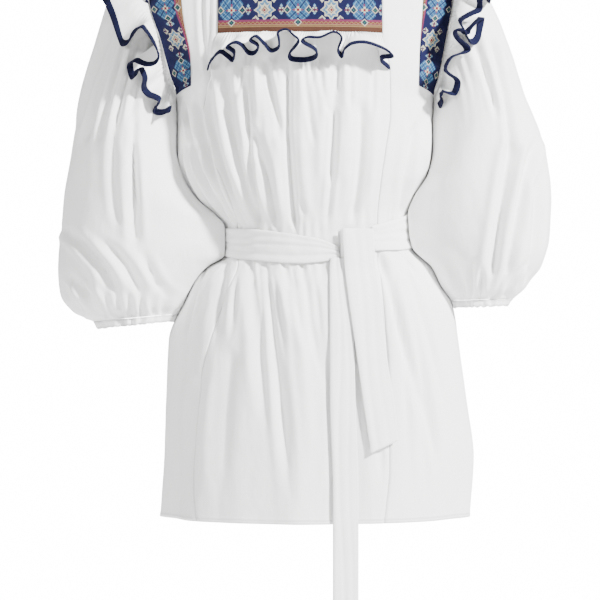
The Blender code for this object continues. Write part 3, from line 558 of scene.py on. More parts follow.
def fold_depth(turn, level):
    """How far the folds, waist gathers and skirt flutes move the cloth out at each point."""
    angle = np.radians(turn)
    sine, cosine = np.sin(angle), np.cos(angle)
    half = by_side(SECTIONS, sine, level)
    speed = np.hypot(half * cosine, depth_at(cosine > 0, level) * sine)
    moved = np.zeros_like(half)
    for back, folds in ((False, FRONT_FOLDS), (True, BACK_FOLDS)):
        for fold in folds:
            centre = turn_of(course(fold, level), level, back)
            distance = np.radians((turn - centre + 180) % 360 - 180) * speed
            # Above the belt a fold runs into it; below it, it runs out slowly to the hem.
            into_belt = fold.z_end > BELT_FOLDS_END
            fade = FOLD_FADE if into_belt else SKIRT_FADE * (fold.z_top - fold.z_end)
            shown = shown_along(fold, level, fade, FOLD_FADE) * ((cosine < 0) == back)
            # One flank is steeper than the other, as a gather falls.
            leaning = distance + 0.25 * fold.width * np.sign(fold.x_end - fold.x_top + 0.1)
            shape = 0.6 * crease(distance, fold.width * 0.8)
            shape += 0.5 * bell(leaning, fold.width * 0.7)
            shape -= 0.4 * bell(abs(distance) - 2.0 * fold.width, fold.width * 0.8)
            moved += fold.depth * shown * shape
    below = ease(-level, -HEM * FLUTE_START, -HEM)
    moved += FLUTE_DEPTH * below * (np.cos(9 * angle + 0.6) + 0.6 * np.cos(14 * angle))
    waist = waist_level(turn)
    near_belt = bell(level - waist, BELT_CALM)
    under_tails = np.where(cosine > 0, ease(-level, 430, 450) * bell(half * sine - 76, 70), 0)
    kept = (1 - np.minimum(1, 1.5 * near_belt)) * (1 - np.minimum(1, 1.5 * under_tails))
    moved = np.where(moved > 0, moved * kept, moved)
    pull = bell(level - waist, WAIST_PULL) * (0.5 - 0.5 * np.cos(WAIST_GATHERS * angle))
    moved -= WAIST_GATHER_DEPTH * pull
    # Small uneven gathers right at the belt, finer than the solids have.
    fine = np.cos(61 * angle + 2.4 * np.sin(7 * angle)) * (0.6 + 0.4 * np.sin(13 * angle + 1))
    moved += FINE_GATHER_DEPTH * fine * bell(abs(level - waist) - 26, 17)
    return moved


def body_point(turn, level, lift=0.0):
    base, outward = body_base(turn, level)
    out = fold_depth(turn, level) + lift
    return base + outward * out[..., None]


def outward_of(points, facing_out):
    """Unit normals of a grid of points, turned to agree with a rough outward direction."""
    along_columns = np.gradient(points, axis=1)
    along_rows = np.gradient(points, axis=0)
    normals = np.cross(along_columns, along_rows)
    normals /= np.linalg.norm(normals, axis=-1, keepdims=True) + 1e-12
    if np.sum(normals * facing_out) < 0:
        normals = -normals
    return normals


def spread(start, end, count):
    return np.linspace(start, end, count + 1)


def cloth_piece(
    node, points, finish, thickness, facing_out, closed=False, flat=None,
):
    """The cloth that stands for a solid's node, from a grid of points in millimetres, rows by
    columns: its mesh, its place on the flat cloth as a UV map and its thickness on the inner
    side. It hangs under the root body, and the solid's own part is hidden."""
    down, across = points.shape[:2]
    sheet = bmesh.new()
    bmesh.ops.create_grid(sheet, x_segments=across - 1, y_segments=down - 1, size=1)
    sheet.verts.ensure_lookup_table()
    if flat is None:
        steps_across = np.linalg.norm(np.diff(points, axis=1), axis=2).mean(0)
        steps_down = np.linalg.norm(np.diff(points, axis=0), axis=2).mean(1)
        flat_across = np.concatenate([[0], np.cumsum(steps_across)])
        flat_along = np.concatenate([[0], np.cumsum(steps_down)])
        flat = np.stack(np.meshgrid(flat_across, flat_along), -1)
    flat = flat.reshape(-1, 2) * MM
    places = points.reshape(-1, 3) * MM
    outward = facing_out.reshape(-1, 3)
    layer = sheet.loops.layers.uv.new("cloth")
    for face in sheet.faces:
        for loop in face.loops:
            loop[layer].uv = flat[loop.vert.index]
    for vert in sheet.verts:
        vert.co = places[vert.index]
    sheet.normal_update()
    # A sample of the points tells whether the faces have to be turned round.
    sample = list(sheet.verts)[:: max(1, len(sheet.verts) // 400)]
    if sum(vert.normal.dot(Vector(outward[vert.index])) for vert in sample) < 0:
        bmesh.ops.reverse_faces(sheet, faces=sheet.faces)
    if closed:
        bmesh.ops.remove_doubles(sheet, verts=sheet.verts, dist=1e-6)
    mesh = bpy.data.meshes.new(f"{node}_cloth")
    sheet.to_mesh(mesh)
    sheet.free()
    mesh.shade_smooth()
    mesh.materials.append(finish)
    piece = bpy.data.objects.new(f"{node}_cloth", mesh)
    bpy.context.scene.collection.objects.link(piece)
    solid = piece.modifiers.new("cloth_thickness", "SOLIDIFY")
    solid.thickness = thickness * MM
    solid.offset = -1
    solid.use_even_offset = False
    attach(piece, "root")
    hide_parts(node)


def seam_turn(table, side, back, inset=0.0):
    column = "right" if side > 0 else "left"
    return lambda level: turn_of(side * (read(table, column, level) + inset), level, back)


def armhole_turn(side, back, inset=0.0):
    def edge(level):
        turn = read(ARMHOLE, "turn", level)
        if inset:
            x = read(SECTIONS, "right" if side > 0 else "left", level)
            return turn_of(side * (x * np.sin(np.radians(turn)) - inset), level, back)
        return side * (180 - turn if back else turn)

    return edge


def between_seams(back, inset):
    """The two edges of a centre panel, each a function of the level that gives a turn."""
    if not back:
        return seam_turn(FRONT_SEAMS, -1, False, inset), seam_turn(FRONT_SEAMS, 1, False, inset)
    far_edge = seam_turn(BACK_SEAMS, -1, True, inset)
    return seam_turn(BACK_SEAMS, 1, True, inset), lambda level: 360 + far_edge(level)


def turn_grid(start, end, levels, columns):
    """A grid of turns and heights between two edges."""
    first, last = start(levels)[:, None], end(levels)[:, None]
    turns = first + (last - first) * spread(0, 1, columns)
    return turns, np.repeat(levels[:, None], columns + 1, 1)


def panel_grid(start, end, levels, columns, back=None):
    """A panel's points between two edges, and their outward directions."""
    turns, heights = turn_grid(start, end, levels, columns)
    if back is not None:
        # The side seam belongs to the front panel in front of it and to the back one behind.
        limit = 90 - 1e-6
        size = np.maximum(abs(turns), 180 - limit) if back else np.minimum(abs(turns), limit)
        turns = np.copysign(size, turns)
    points = body_point(turns, heights, CLOTH)
    rough = body_base(turns, heights)[1]
    crumple = soft_noise(points, 30, 70, 3.1) * 0.7 + soft_noise(points, 11, 26, 8.7) * 0.28
    # The hem is turned up twice, so it is thicker.
    turned = 1 - ease(heights, HEM + HEM_DEPTH - 1, HEM + HEM_DEPTH + 1)
    points = points + rough * (HEM_TURN * turned)[..., None]
    # Edges keep still, so that neighbouring panels and what lies on them still meet.
    shares = spread(0, 1, columns)
    still = ease(np.minimum(shares, 1 - shares) * columns, 0, 8)
    points = points + rough * (crumple * still)[..., None]
    # The last columns dip a little, where the seam pulls the cloth in.
    sunk = np.zeros(columns + 1)
    sunk[[0, -1]] = SEAM_DIP
    sunk[[1, -2]] = SEAM_DIP / 2
    return points - rough * sunk[:, None], rough


PANEL_WALL = 0.8
SEAM_DIP = 0.9
HEM_DEPTH = 7.0
HEM_STITCH = 5.0
SKIRT_TOP = -470.0
ROW_STEP = 3.0
SIDES = ((-1, "left"), (1, "right"))
poplin = poplin_finish("white_poplin")
hemmed = poplin_finish("white_poplin_hemmed", (HEM_STITCH,))

for node, back, neck, skirt_rows, top_rows, columns, lying_on in (
    ("front_centre", False, FRONT_NECK, 120, 150, 118, "neck_ribbon"),
    ("back_centre", True, BACK_NECK, 100, 130, 90, "back_neck_band"),
):
    levels = np.concatenate([
        spread(HEM, SKIRT_TOP, skirt_rows), spread(SKIRT_TOP + ROW_STEP, neck, top_rows),
    ])
    points, out = panel_grid(*between_seams(back, -SEAM_GAP / 2), levels, columns)
    cloth_piece(node, points, hemmed, PANEL_WALL, out)

# The rows of a side panel lie closest at the shoulder ridge, where it turns over.
side_levels = np.concatenate([
    spread(HEM, SKIRT_TOP, 90), spread(SKIRT_TOP + ROW_STEP, -216, 84), spread(UNDERARM, -70, 50),
    spread(-67, -12, 22), np.array([-9, -6, -4.5, -3, -2, -1.2, -0.6, -0.2, 0]),
])
for side, side_name in SIDES:
    for back, face_name, seams in ((False, "front", FRONT_SEAMS), (True, "back", BACK_SEAMS)):
        points, out = panel_grid(
            seam_turn(seams, side, back, SEAM_GAP / 2), armhole_turn(side, back), side_levels, 46,
            back,
        )
        cloth_piece(f"side_{face_name}_{side_name}", points, hemmed, PANEL_WALL, out)


# The puff sleeves: wide poplin sleeves gathered into the armhole above and into the cuff below.
# Long soft folds hang over the elbow; they are placed from the picture in front and in the same
# manner behind.
Ring = namedtuple("Ring", "number outer_x outer_z inner_x inner_z half_depth")
SLEEVES = {
    -1: [
        Ring(0, -236, 0, -194, -209, 38),
        Ring(1, -256, -1, -190, -229, 54),
        Ring(2, -279, -50, -189.6, -252, 68),
        Ring(3, -298, -108, -190, -276, 76),
        Ring(4, -314, -163, -188, -302, 82),
        Ring(5, -327, -220, -177.5, -333, 86),
        Ring(6, -336, -278, -158, -361, 88),
        Ring(7, -346, -338, -125, -390, 89),
        Ring(8, -353, -399, -125, -419, 89),
        Ring(9, -357, -454, -148, -451, 87),
        Ring(10, -353, -491, -169.5, -480, 81),
        Ring(11, -335, -514, -181, -503, 68),
        Ring(12, -302, -528, -189, -517, 51),
        Ring(13, -300, -539, -192, -528, 51),
    ],
    1: [
        Ring(0, 218, 0, 189, -209, 38),
        Ring(1, 238, -1, 188.5, -229, 54),
        Ring(2, 256, -48, 188, -252, 68),
        Ring(3, 279, -96, 187, -278, 76),
        Ring(4, 297, -145, 185, -304, 82),
        Ring(5, 315, -202, 173.5, -333, 86),
        Ring(6, 336, -255, 155, -364, 88),
        Ring(7, 348, -302, 154.5, -387, 89),
        Ring(8, 353, -353, 160, -413, 88),
        Ring(9, 350, -410, 178, -442, 85),
        Ring(10, 337, -448, 194, -468, 78),
        Ring(11, 317, -478, 204.5, -487, 65),
        Ring(12, 295, -495, 212, -498, 50),
        Ring(13, 292, -506, 217, -509, 50),
    ],
}
CUFF_RING = 12.0
SLEEVE_FOLDS = {
    -1: [
        Fold(-271, -242, -357, -242, -430, -238, 6, -7.0),
        Fold(-387, -355, -432, -304, -495, -267, 6, -8.4),
        Fold(-458, -340, -492, -307, -535, -284, 5, -7.0),
        Fold(-403, -297, -455, -249, -500, -232, 6, -7.0),
        Fold(-422, -232, -455, -218, -500, -194, 5, -5.6),
        Fold(-455, -331, -495, -312, -555, -278, 4, -7.0),
        Fold(-455, -314, -495, -299, -555, -273, 4, -6.5),
        Fold(-475, -268, -505, -264, -560, -257, 4, -5.5),
        Fold(-475, -250, -505, -249, -560, -247, 4, -5.0),
        Fold(-480, -231, -508, -233, -560, -238, 3.5, -5.0),
        Fold(-75, -262, -160, -296, -262, -328, 5, -7.0),
        Fold(-80, -250, -165, -282, -280, -312, 5, -7.0),
        Fold(-85, -238, -175, -268, -285, -294, 5, -7.0),
        Fold(-110, -228, -185, -253, -260, -270, 4.5, -6.0),
        Fold(-150, -222, -200, -238, -250, -248, 4, -5.0),
        Fold(-225, -240, -290, -243, -380, -236, 4, -4.0),
        Fold(-225, -264, -292, -272, -400, -262, 5, -3.5),
    ],
    1: [
        Fold(-261, 294, -375, 274, -470, 261, 7, -10.3),
        Fold(-261, 330, -330, 308, -475, 284, 6, -8.4),
        Fold(-310, 326, -402, 326, -482, 315, 6, -7.0),
        Fold(-433, 233, -477, 233, -516, 233, 4, -5.6),
        Fold(-449, 212, -484, 222, -516, 227, 4, -5.6),
        Fold(-443, 248, -479, 246, -512, 246, 4, -5.6),
        Fold(-434, 323, -468, 292, -505, 284, 4, -5.6),
        Fold(-119, 231, -182, 254, -250, 271, 4, -5.6),
        Fold(-109, 258, -192, 277, -300, 291, 5, -7.0),
    ],
}
# Folds behind and round the outside: turn round the arm (0 outermost, 90 front) and ring.
Crease = namedtuple("Crease", "turn_top ring_top turn_end ring_end width depth")
SLEEVE_CREASES = {
    -1: [
        Crease(48, 0.6, 36, 4.0, 9, -4),
        Crease(20, 9.2, 52, 11.6, 9, -5),
        Crease(-60, 2.5, -78, 8.0, 10, -6),
        Crease(-30, 7.6, -84, 10.4, 9, -6),
        Crease(-110, 6.0, -120, 10.4, 10, -5),
        Crease(-20, 9.0, -50, 11.6, 8, -5),
        Crease(-90, 0.8, -84, 4.0, 8, -4),
        Crease(-50, 0.8, -40, 4.4, 8, -4),
        Crease(-118, 9.0, -100, 11.6, 8, -4),
    ],
    1: [
        Crease(44, 0.6, 34, 3.6, 9, -4),
        Crease(134, 8.6, 122, 11.4, 9, -5),
        Crease(-64, 2.5, -80, 8.4, 10, -6),
        Crease(-28, 6.6, -76, 10.2, 9, -6),
        Crease(-112, 5.6, -118, 10.4, 10, -5),
        Crease(-24, 8.6, -56, 11.6, 8, -5),
        Crease(-84, 0.8, -80, 3.6, 8, -4),
        Crease(-44, 0.8, -36, 4.0, 8, -4),
        Crease(-122, 9.0, -104, 11.6, 8, -4),
    ],
}
SLEEVE_FADE = 30.0
TOP_GATHERS = 26
TOP_GATHER_DEPTH = 2.2
CUFF_GATHERS = 22
CUFF_GATHER_DEPTH = 5.5
# The sleeve bags a little over the outer end of its cuff.
CUFF_SWELL = 5.0
# Before and behind the side seam a soft fold of the sleeve lies over the edge of the body.
OVERLAP_TURN = 157
OVERLAP_WIDTH = 14
OVERLAP = 3.0
BODY_CLEARANCE = 3.4
# Where less than this share of the overlap is left, the sleeve hangs free of the body.
OVERLAP_END = 0.02
SLEEVE_START = (CLOTH + 0.7, 1.0)
FRILL_START = (CLOTH + 1.9, -0.6)
ArmholeEdge = namedtuple("ArmholeEdge", "turn place outward into")


def unit(vectors):
    return vectors / (np.linalg.norm(vectors, axis=-1, keepdims=True) + 1e-12)


def armhole_ring(side, count=121):
    """The armhole's edge once round the arm, with the panels' outward direction and the
    direction into the opening. The turn is 0 at the shoulder, 90 in front, 180 underneath."""
    turns = np.linspace(0, 180, count)
    levels = UNDERARM * (1 - np.cos(np.radians(turns))) / 2
    halves = []
    for back in (False, True):
        edge = armhole_turn(side, back)(levels)
        inner = edge + (2 * side if back else -2 * side)
        base, outward = body_base(edge, levels)
        aside = body_base(inner, levels)[0] - base
        upright = body_base(inner, levels + 1)[0] - body_base(inner, levels - 1)[0]
        normal = unit(np.cross(aside, upright))
        normal *= np.sign(np.sum(normal * outward, -1, keepdims=True) + 1e-9)
        ends = ease(turns, 4, 14)[:, None]
        normal = unit(normal * ends + np.array([0, 0, 1.0]) * (1 - ends))
        ends = ease(turns, 164, 176)[:, None]
        normal = unit(normal * (1 - ends) + np.array([side, 0, 0.0]) * ends)
        halves.append((base, normal))
    turn = np.concatenate([turns, 360 - turns[-2:0:-1]])
    place = np.concatenate([halves[0][0], halves[1][0][-2:0:-1]])
    outward = np.concatenate([halves[0][1], halves[1][1][-2:0:-1]])
    along = np.roll(place, -1, 0) - np.roll(place, 1, 0)
    into = unit(np.cross(outward, along))
    into *= np.sign(np.sum(into * (place.mean(0) - place), -1, keepdims=True))
    return ArmholeEdge(turn, place, outward, into)


ARMHOLES = {side: armhole_ring(side) for side in (-1, 1)}


def armhole_point(side, turn, start):
    """Points beside the armhole's edge: start holds how far out and how far into the opening."""
    ring = ARMHOLES[side]
    places = ring.place + ring.outward * start[0] + ring.into * start[1]
    return np.stack(
        [np.interp(turn, ring.turn, places[:, axis], period=360) for axis in range(3)], -1
    )


def elastic_waves(angle):
    """The uneven gathers of the elastic, once round the cuff."""
    return np.cos(CUFF_GATHERS * angle + 1.7 * np.sin(3 * angle) + 0.4)


def sleeve_form(side, turn, place):
    """The sleeve's plain form at these turns and rings, and its outward directions."""
    rings = SLEEVES[side]
    angle = np.radians(turn)
    sine, cosine = np.sin(angle), np.cos(angle)
    outer, inner = (
        np.stack([read(rings, end + "_x", place), 0 * place, read(rings, end + "_z", place)], -1)
        for end in ("outer", "inner")
    )
    depth = read(rings, "half_depth", place)
    centre, reach = (outer + inner) / 2, (outer - inner) / 2
    length = np.linalg.norm(reach, axis=-1)
    towards = np.array([0, -1.0, 0])
    point = centre + reach * cosine[..., None] + towards * (depth * sine)[..., None]
    outward = unit(
        reach / length[..., None] * (cosine * depth)[..., None]
        + towards * (length * sine)[..., None]
    )
    return point, outward


def sleeve_moves(side, turn, place, point):
    """How far creases, folds, gathers and crumples move the sleeve out at each point."""
    angle = np.radians(turn)
    moved = np.zeros_like(angle)
    for line in SLEEVE_CREASES[side]:
        share = np.clip((place - line.ring_top) / (line.ring_end - line.ring_top), 0, 1)
        centre_turn = line.turn_top + (line.turn_end - line.turn_top) * share
        away = (turn - centre_turn + 180) % 360 - 180
        moved += line.depth * np.sin(np.pi * share) ** 0.8 * bell(away, line.width)
    level = point[..., 2]
    for fold in SLEEVE_FOLDS[side]:
        slope = course(fold, level + 1) - course(fold, level)
        away = (point[..., 0] - course(fold, level)) / np.hypot(1, slope)
        shown = shown_along(fold, level, SLEEVE_FADE, SLEEVE_FADE) * (np.sin(angle) > 0)
        shape = 1.2 * crease(away, fold.width)
        shape -= 0.5 * bell(abs(away) - 2.2 * fold.width, fold.width)
        moved += fold.depth * shown * shape
    gathered = ease(place, 8.4, 11.4) * (1 - 0.3 * ease(place, 11.5, CUFF_RING))
    waves = (0.5 - 0.5 * elastic_waves(angle)) * (0.65 + 0.35 * np.sin(5 * angle + 2))
    moved -= CUFF_GATHER_DEPTH * gathered * waves
    gathered = ease(place, 0.1, 0.8) * (1 - ease(place, 1.4, 4.8))
    waves = 0.5 - 0.5 * np.cos(TOP_GATHERS * angle + 2.2 * np.sin(4 * angle))
    moved -= TOP_GATHER_DEPTH * gathered * waves
    moved += CUFF_SWELL * bell(place - 11.7, 0.6) * ease(np.cos(angle), 0, 0.8)
    crumple = soft_noise(point, 34, 62, 21.3) * 1.3 + soft_noise(point, 12, 24, 5.9) * 0.4
    return moved + crumple * ease(place, 0.4, 1.5) * (1 - ease(place, 11, 12))


def laid_over_body(side, turn, place, point):
    """How far aside the sleeve lies once its overlap is drawn in and kept clear of the body."""
    level = point[..., 2]
    half = read(SECTIONS, "right" if side > 0 else "left", level)
    deep = depth_at(np.sin(np.radians(turn)) > 0, level)
    aside = abs(point[..., 0])
    near = bell(abs(turn) - OVERLAP_TURN, OVERLAP_WIDTH) * ease(place, 0.1, 0.9)
    aside = aside - np.maximum(0, aside - half - CLOTH + OVERLAP) * near
    body = half * np.sqrt(np.clip(1 - (point[..., 1] / deep) ** 2, 0, 1)) + BODY_CLEARANCE
    return np.where(near > OVERLAP_END, np.maximum(aside, body), aside)


def sleeve_point(side, turn, row, creased=True):
    """The sleeve's outer face and its outward directions; the row is a ring number."""
    place = np.clip(row, 0, len(SLEEVES[side]) - 1)
    point, outward = sleeve_form(side, turn, place)
    if creased:
        point = point + outward * sleeve_moves(side, turn, place, point)[..., None]
        point[..., 0] = side * laid_over_body(side, turn, place, point)
    sewn = (1 - ease(place, 0.0, 1.3))[..., None]
    return point * (1 - sewn) + armhole_point(side, turn, SLEEVE_START) * sewn, outward


CUFF_STITCHES = (1.4, 9.2)
CUFF_WALL = 1.6
CUFF_ROLL = 0.6
# The sleeve ends at its cuff's ring and the cuff a ring further on, each just short of the next.
RING_GAP = 0.04
round_arm = spread(-180, 180, 180)
cuffed = poplin_finish("white_poplin_cuff", CUFF_STITCHES)
for side, side_name in SIDES:
    turns, rows = np.meshgrid(round_arm, spread(0, CUFF_RING, 140))
    points, out = sleeve_point(side, turns, rows)
    cloth_piece(
        f"sleeve_{side_name}", points, poplin, PANEL_WALL, out,
        closed=True,
    )
    turns, rows = np.meshgrid(
        round_arm, spread(CUFF_RING + RING_GAP, CUFF_RING + 1 - RING_GAP, 9)
    )
    points, out = sleeve_point(side, turns, rows)
    roll = CUFF_ROLL * np.sin(np.pi * (rows - CUFF_RING)) ** 0.5
    points = points + out * roll[..., None]
    # The elastic inside draws the foot of the cuff into small uneven scallops.
    angles = np.radians(turns)
    scallops = elastic_waves(angles) * (0.8 + 0.4 * np.sin(4 * angles + 1))
    points[..., 2] += scallops * (rows - CUFF_RING)
    cloth_piece(f"cuff_{side_name}", points, cuffed, CUFF_WALL, out, closed=True)


# The folk ribbon: a jacquard band woven in navy, turquoise, cream, pink and brick, with rosettes
# and stars in turn. It is charted here from plain shapes, in steps as wide as its threads. One
# piece is sewn across the front under the square neck and one along each armhole.
NAVY_BLUE = (0.006, 0.0075, 0.042)
TURQUOISE = (0.03, 0.1, 0.2)
CREAM = (0.44, 0.42, 0.33)
PINK = (0.16, 0.03, 0.07)
BRICK = (0.13, 0.028, 0.017)
GOLD = (0.24, 0.15, 0.07)
BROWN = (0.08, 0.034, 0.018)
LIGHT_BLUE = (0.12, 0.24, 0.36)
GREEN = (0.02, 0.09, 0.07)
RED = (0.16, 0.014, 0.016)
RIBBON_SHADE = (0.004, 0.004, 0.01)
RIBBON_STEP = 0.75
MOTIF_PITCH = 46.6


def larger(first, second):
    return first.maths("MAXIMUM", second)


def smaller(first, second):
    return first.maths("MINIMUM", second)


def folk_finish(name, navy_half, one_border=False):
    """The ribbon's weave; the navy ground reaches this far either side of its middle line, and
    a rosette's middle is at 0 along it. With one border, the other is cut away."""
    finish = Finish(name, NAVY_BLUE, 0.85)
    along, across = finish.cloth_place()
    p = (along / RIBBON_STEP).maths("ROUND") * RIBBON_STEP
    q = (across / RIBBON_STEP).maths("ROUND") * RIBBON_STEP

    def from_motif(start, pitch):
        """The distance along the ribbon from the nearest of a row of motifs."""
        moved = p - start
        return abs(moved - (moved / pitch).maths("ROUND") * pitch)

    colour = finish.mix(0.0, NAVY_BLUE, NAVY_BLUE)

    def paint(mask, shade):
        nonlocal colour
        colour = finish.mix(mask, colour, shade)

    q_abs = abs(q)

    def diamond(near, off, aside, size):
        """Inside a small diamond this far along from a row of motifs and off the middle line."""
        return (abs(near - off) + abs(q_abs - aside)) < size

    def paint_diamond(near, off, aside):
        for size, shade in ((5.6, CREAM), (4.0, NAVY_BLUE), (2.2, GREEN)):
            paint(diamond(near, off, aside, size), shade)

    # Dots between the motifs.
    between = from_motif(MOTIF_PITCH / 2, MOTIF_PITCH)
    paint(diamond(between, 0, 4.9, 2.3), LIGHT_BLUE)
    paint(diamond(between, 0, 4.9, 0.9), CREAM)
    paint(diamond(between, 3.4, 0, 1.6), PINK)
    paint(diamond(between, 1.9, 2.2, 1.3), CREAM)
    paint(diamond(between, 0, 0, 1.1), RED)
    # The rosette: eight split turquoise petals round a pink and cream cross.
    near = from_motif(0, 2 * MOTIF_PITCH)
    long, short = larger(near, q_abs), smaller(near, q_abs)
    petals = (short > 0.6) * ((long - short) > 0.9)
    petals = petals * ((long - short) < 9.2) * ((long + short) < 24) * (long < 16.2)
    paint(petals, TURQUOISE)
    paint(petals * (abs(long - short - 4.6) < 0.5) * (long > 6.5), NAVY_BLUE)
    paint(petals * (abs(long + short - 13.5) < 0.7), LIGHT_BLUE)
    paint(petals * (abs(long + short - 20.5) < 0.8), LIGHT_BLUE)
    paint((long < 7.5) * (short < 1.0), PINK)
    paint((long < 4.5) * (short < 1.6) * (long > 1.6), CREAM)
    paint((long + short) < 2.0, RED)
    paint_diamond(near, 15.2, 0)
    # The star: nested rings of cream, blue and cream round a red middle, with crossed sprigs.
    near = from_motif(MOTIF_PITCH, 2 * MOTIF_PITCH)
    long, short = larger(near, q_abs), smaller(near, q_abs)
    size = smaller((long + 1.5 * short) * 0.64, long * 1.06)
    paint(size < 10, CREAM)
    paint((size < 8.3) * (size > 5.6), TURQUOISE)
    paint((size < 7.4) * (size > 6.6), LIGHT_BLUE)
    paint((size < 8.3) * (size > 5.6) * ((long - short) < 0.8), CREAM)
    paint((near + q_abs) < 5.0, BRICK)
    paint((near + q_abs) < 3.2, CREAM)
    paint((near + q_abs) < 2.2, RED)
    paint(diamond(near, 12.8, 12.8, 5.0), CREAM)
    paint((abs(near - 12.8) < 0.8) * (abs(q_abs - 12.8) < 3.8) * (q_abs > 10.5), NAVY_BLUE)
    paint((abs(q_abs - 12.8) < 0.8) * (abs(near - 12.8) < 3.8) * (near > 10.5), NAVY_BLUE)
    paint(diamond(near, 12.8, 12.8, 1.3), PINK)
    # The borders: pink, brick with a gold zigzag, gold and brown, and thin navy lines between.
    edge = (q if one_border else q_abs) - navy_half
    paint(edge > 0, PINK)
    paint(edge > 2.6, BRICK)
    zigzag = abs((p / 6).maths("FRACT") - 0.5) * 5.2
    paint((abs(edge - 3.2 - zigzag) < 0.7) * (edge > 2.6), GOLD)
    paint(edge > 6.0, PINK)
    paint(edge > 6.8, GOLD)
    paint((edge > 8.2) * (edge < 9.1), BROWN)
    paint(edge > 10.6, BROWN)
    # The side diamonds of a rosette lie over the borders.
    paint_diamond(from_motif(0, 2 * MOTIF_PITCH), 0, navy_half + 3.8)
    thread = finish.threads(along, across, RIBBON_STEP)
    for dark in ((thread * 0.5 + 0.5) * 0.25, finish.noise(60, 2) * 0.2):
        colour = finish.mix(dark, colour, RIBBON_SHADE)
    return finish.done(colour, finish.bump(thread, 0.00018, 0.8))


RIBBON_FACE = 2.4
RIBBON_THICKNESS = 0.6
RIBBON_INSET = 0.2
NECK_NAVY_HALF = 14.0
NECK_RIBBON_MIDDLE = -91.5
NECK_ROSETTE = -11.4
neck_levels = spread(RIBBON_FOOT - 2.2, FRONT_NECK + 0.4, 26)
turns, heights = turn_grid(*between_seams(False, RIBBON_INSET), neck_levels, 110)
points = body_point(turns, heights, RIBBON_FACE)
cloth_piece(
    "neck_ribbon", points, folk_finish("folk_ribbon_neck", NECK_NAVY_HALF), RIBBON_THICKNESS,
    body_base(turns, heights)[1],
    flat=np.stack([points[..., 0] - NECK_ROSETTE, heights - NECK_RIBBON_MIDDLE], -1),
)

# The middle line of a shoulder ribbon's pattern, as distances from the garment's middle: it is
# straighter than the strap, so the ribbon is cut away along the armhole. Behind it is the same.
RibbonLine = namedtuple("RibbonLine", "z left right")
RIBBON_LINE = [
    RibbonLine(UNDERARM, 164, 166),
    RibbonLine(-172, 172, 170),
    RibbonLine(-128, 183, 176),
    RibbonLine(-85, 198, 184),
    RibbonLine(-30, 206, 194),
    RibbonLine(0, 208, 198),
]
RIBBON_END = -200.0
RIBBON_SLANT = 5.0
ROSETTE_LEVEL = -85.0
RIDGE_LIFT = 0.7
RIBBON_COLUMNS = 30
RIBBON_ROWS = 90
SHOULDER_NAVY_HALF = {-1: 15.5, 1: 17.5}
for side, side_name in SIDES:
    rows = RIBBON_END * (1 - spread(0, 1, RIBBON_ROWS) ** 0.8)
    shares = spread(0, 1, RIBBON_COLUMNS)
    middle_column = RIBBON_COLUMNS // 2
    halves = []
    for back, levels in ((False, rows), (True, rows[::-1][1:])):
        heights = np.repeat(levels[:, None], len(shares), 1)
        near_end = 1 - ease(heights, RIBBON_END, RIBBON_END + 60)
        heights = heights + RIBBON_SLANT * near_end * (1 - 2 * shares)
        heights = np.where(levels[:, None] >= 0, 0, np.minimum(heights, 0))
        inner = seam_turn(RIBBON_INNER, side, back)(heights)
        outer = armhole_turn(side, back, 2.0)(heights)
        turns = inner + (outer - inner) * shares
        points = body_point(turns, heights, RIBBON_FACE)
        points[..., 2] += RIDGE_LIFT * bell(heights, 1.0)
        out = body_base(turns, heights)[1]
        out[..., 2] += 1.5 * ease(levels, -40, 0)[:, None]
        line = seam_turn(RIBBON_LINE, side, back)(heights)
        aside = np.linalg.norm(np.diff(points, axis=1), axis=-1)
        run = np.concatenate([np.zeros((len(levels), 1)), np.cumsum(aside, 1)], 1)
        share_of_line = (line - inner)[:, :1] / (outer - inner)[:, :1]
        middle = np.array([
            np.interp(at, shares, steps) for at, steps in zip(share_of_line[:, 0], run)
        ])
        halves.append((points, out, middle[:, None] - run, heights[:, middle_column]))
    points, out, across, middle_levels = (np.concatenate(pair) for pair in zip(*halves))
    steps = np.linalg.norm(np.diff(points[:, middle_column], axis=0), axis=-1)
    along = np.concatenate([[0], np.cumsum(steps)])
    along -= np.interp(ROSETTE_LEVEL, middle_levels[:len(rows)], along[:len(rows)])
    cloth_piece(
        f"shoulder_ribbon_{side_name}", points,
        folk_finish(f"folk_ribbon_{side_name}", SHOULDER_NAVY_HALF[side], True),
        RIBBON_THICKNESS, out,
        flat=np.stack([np.repeat(along[:, None], len(shares), 1), across], -1),
    )


# The back neck band: a folded strip of the poplin, stitched along both edges, that holds the
# gathers of the back panel.
BAND_STITCHES = (2.0, 35.0)
band_levels = spread(BACK_BAND_FOOT, BACK_NECK + 0.5, 24)
turns, heights = turn_grid(*between_seams(True, RIBBON_INSET), band_levels, 90)
cloth_piece(
    "back_neck_band", body_point(turns, heights, RIBBON_FACE),
    poplin_finish("white_poplin_band", BAND_STITCHES), PANEL_WALL, body_base(turns, heights)[1],
)


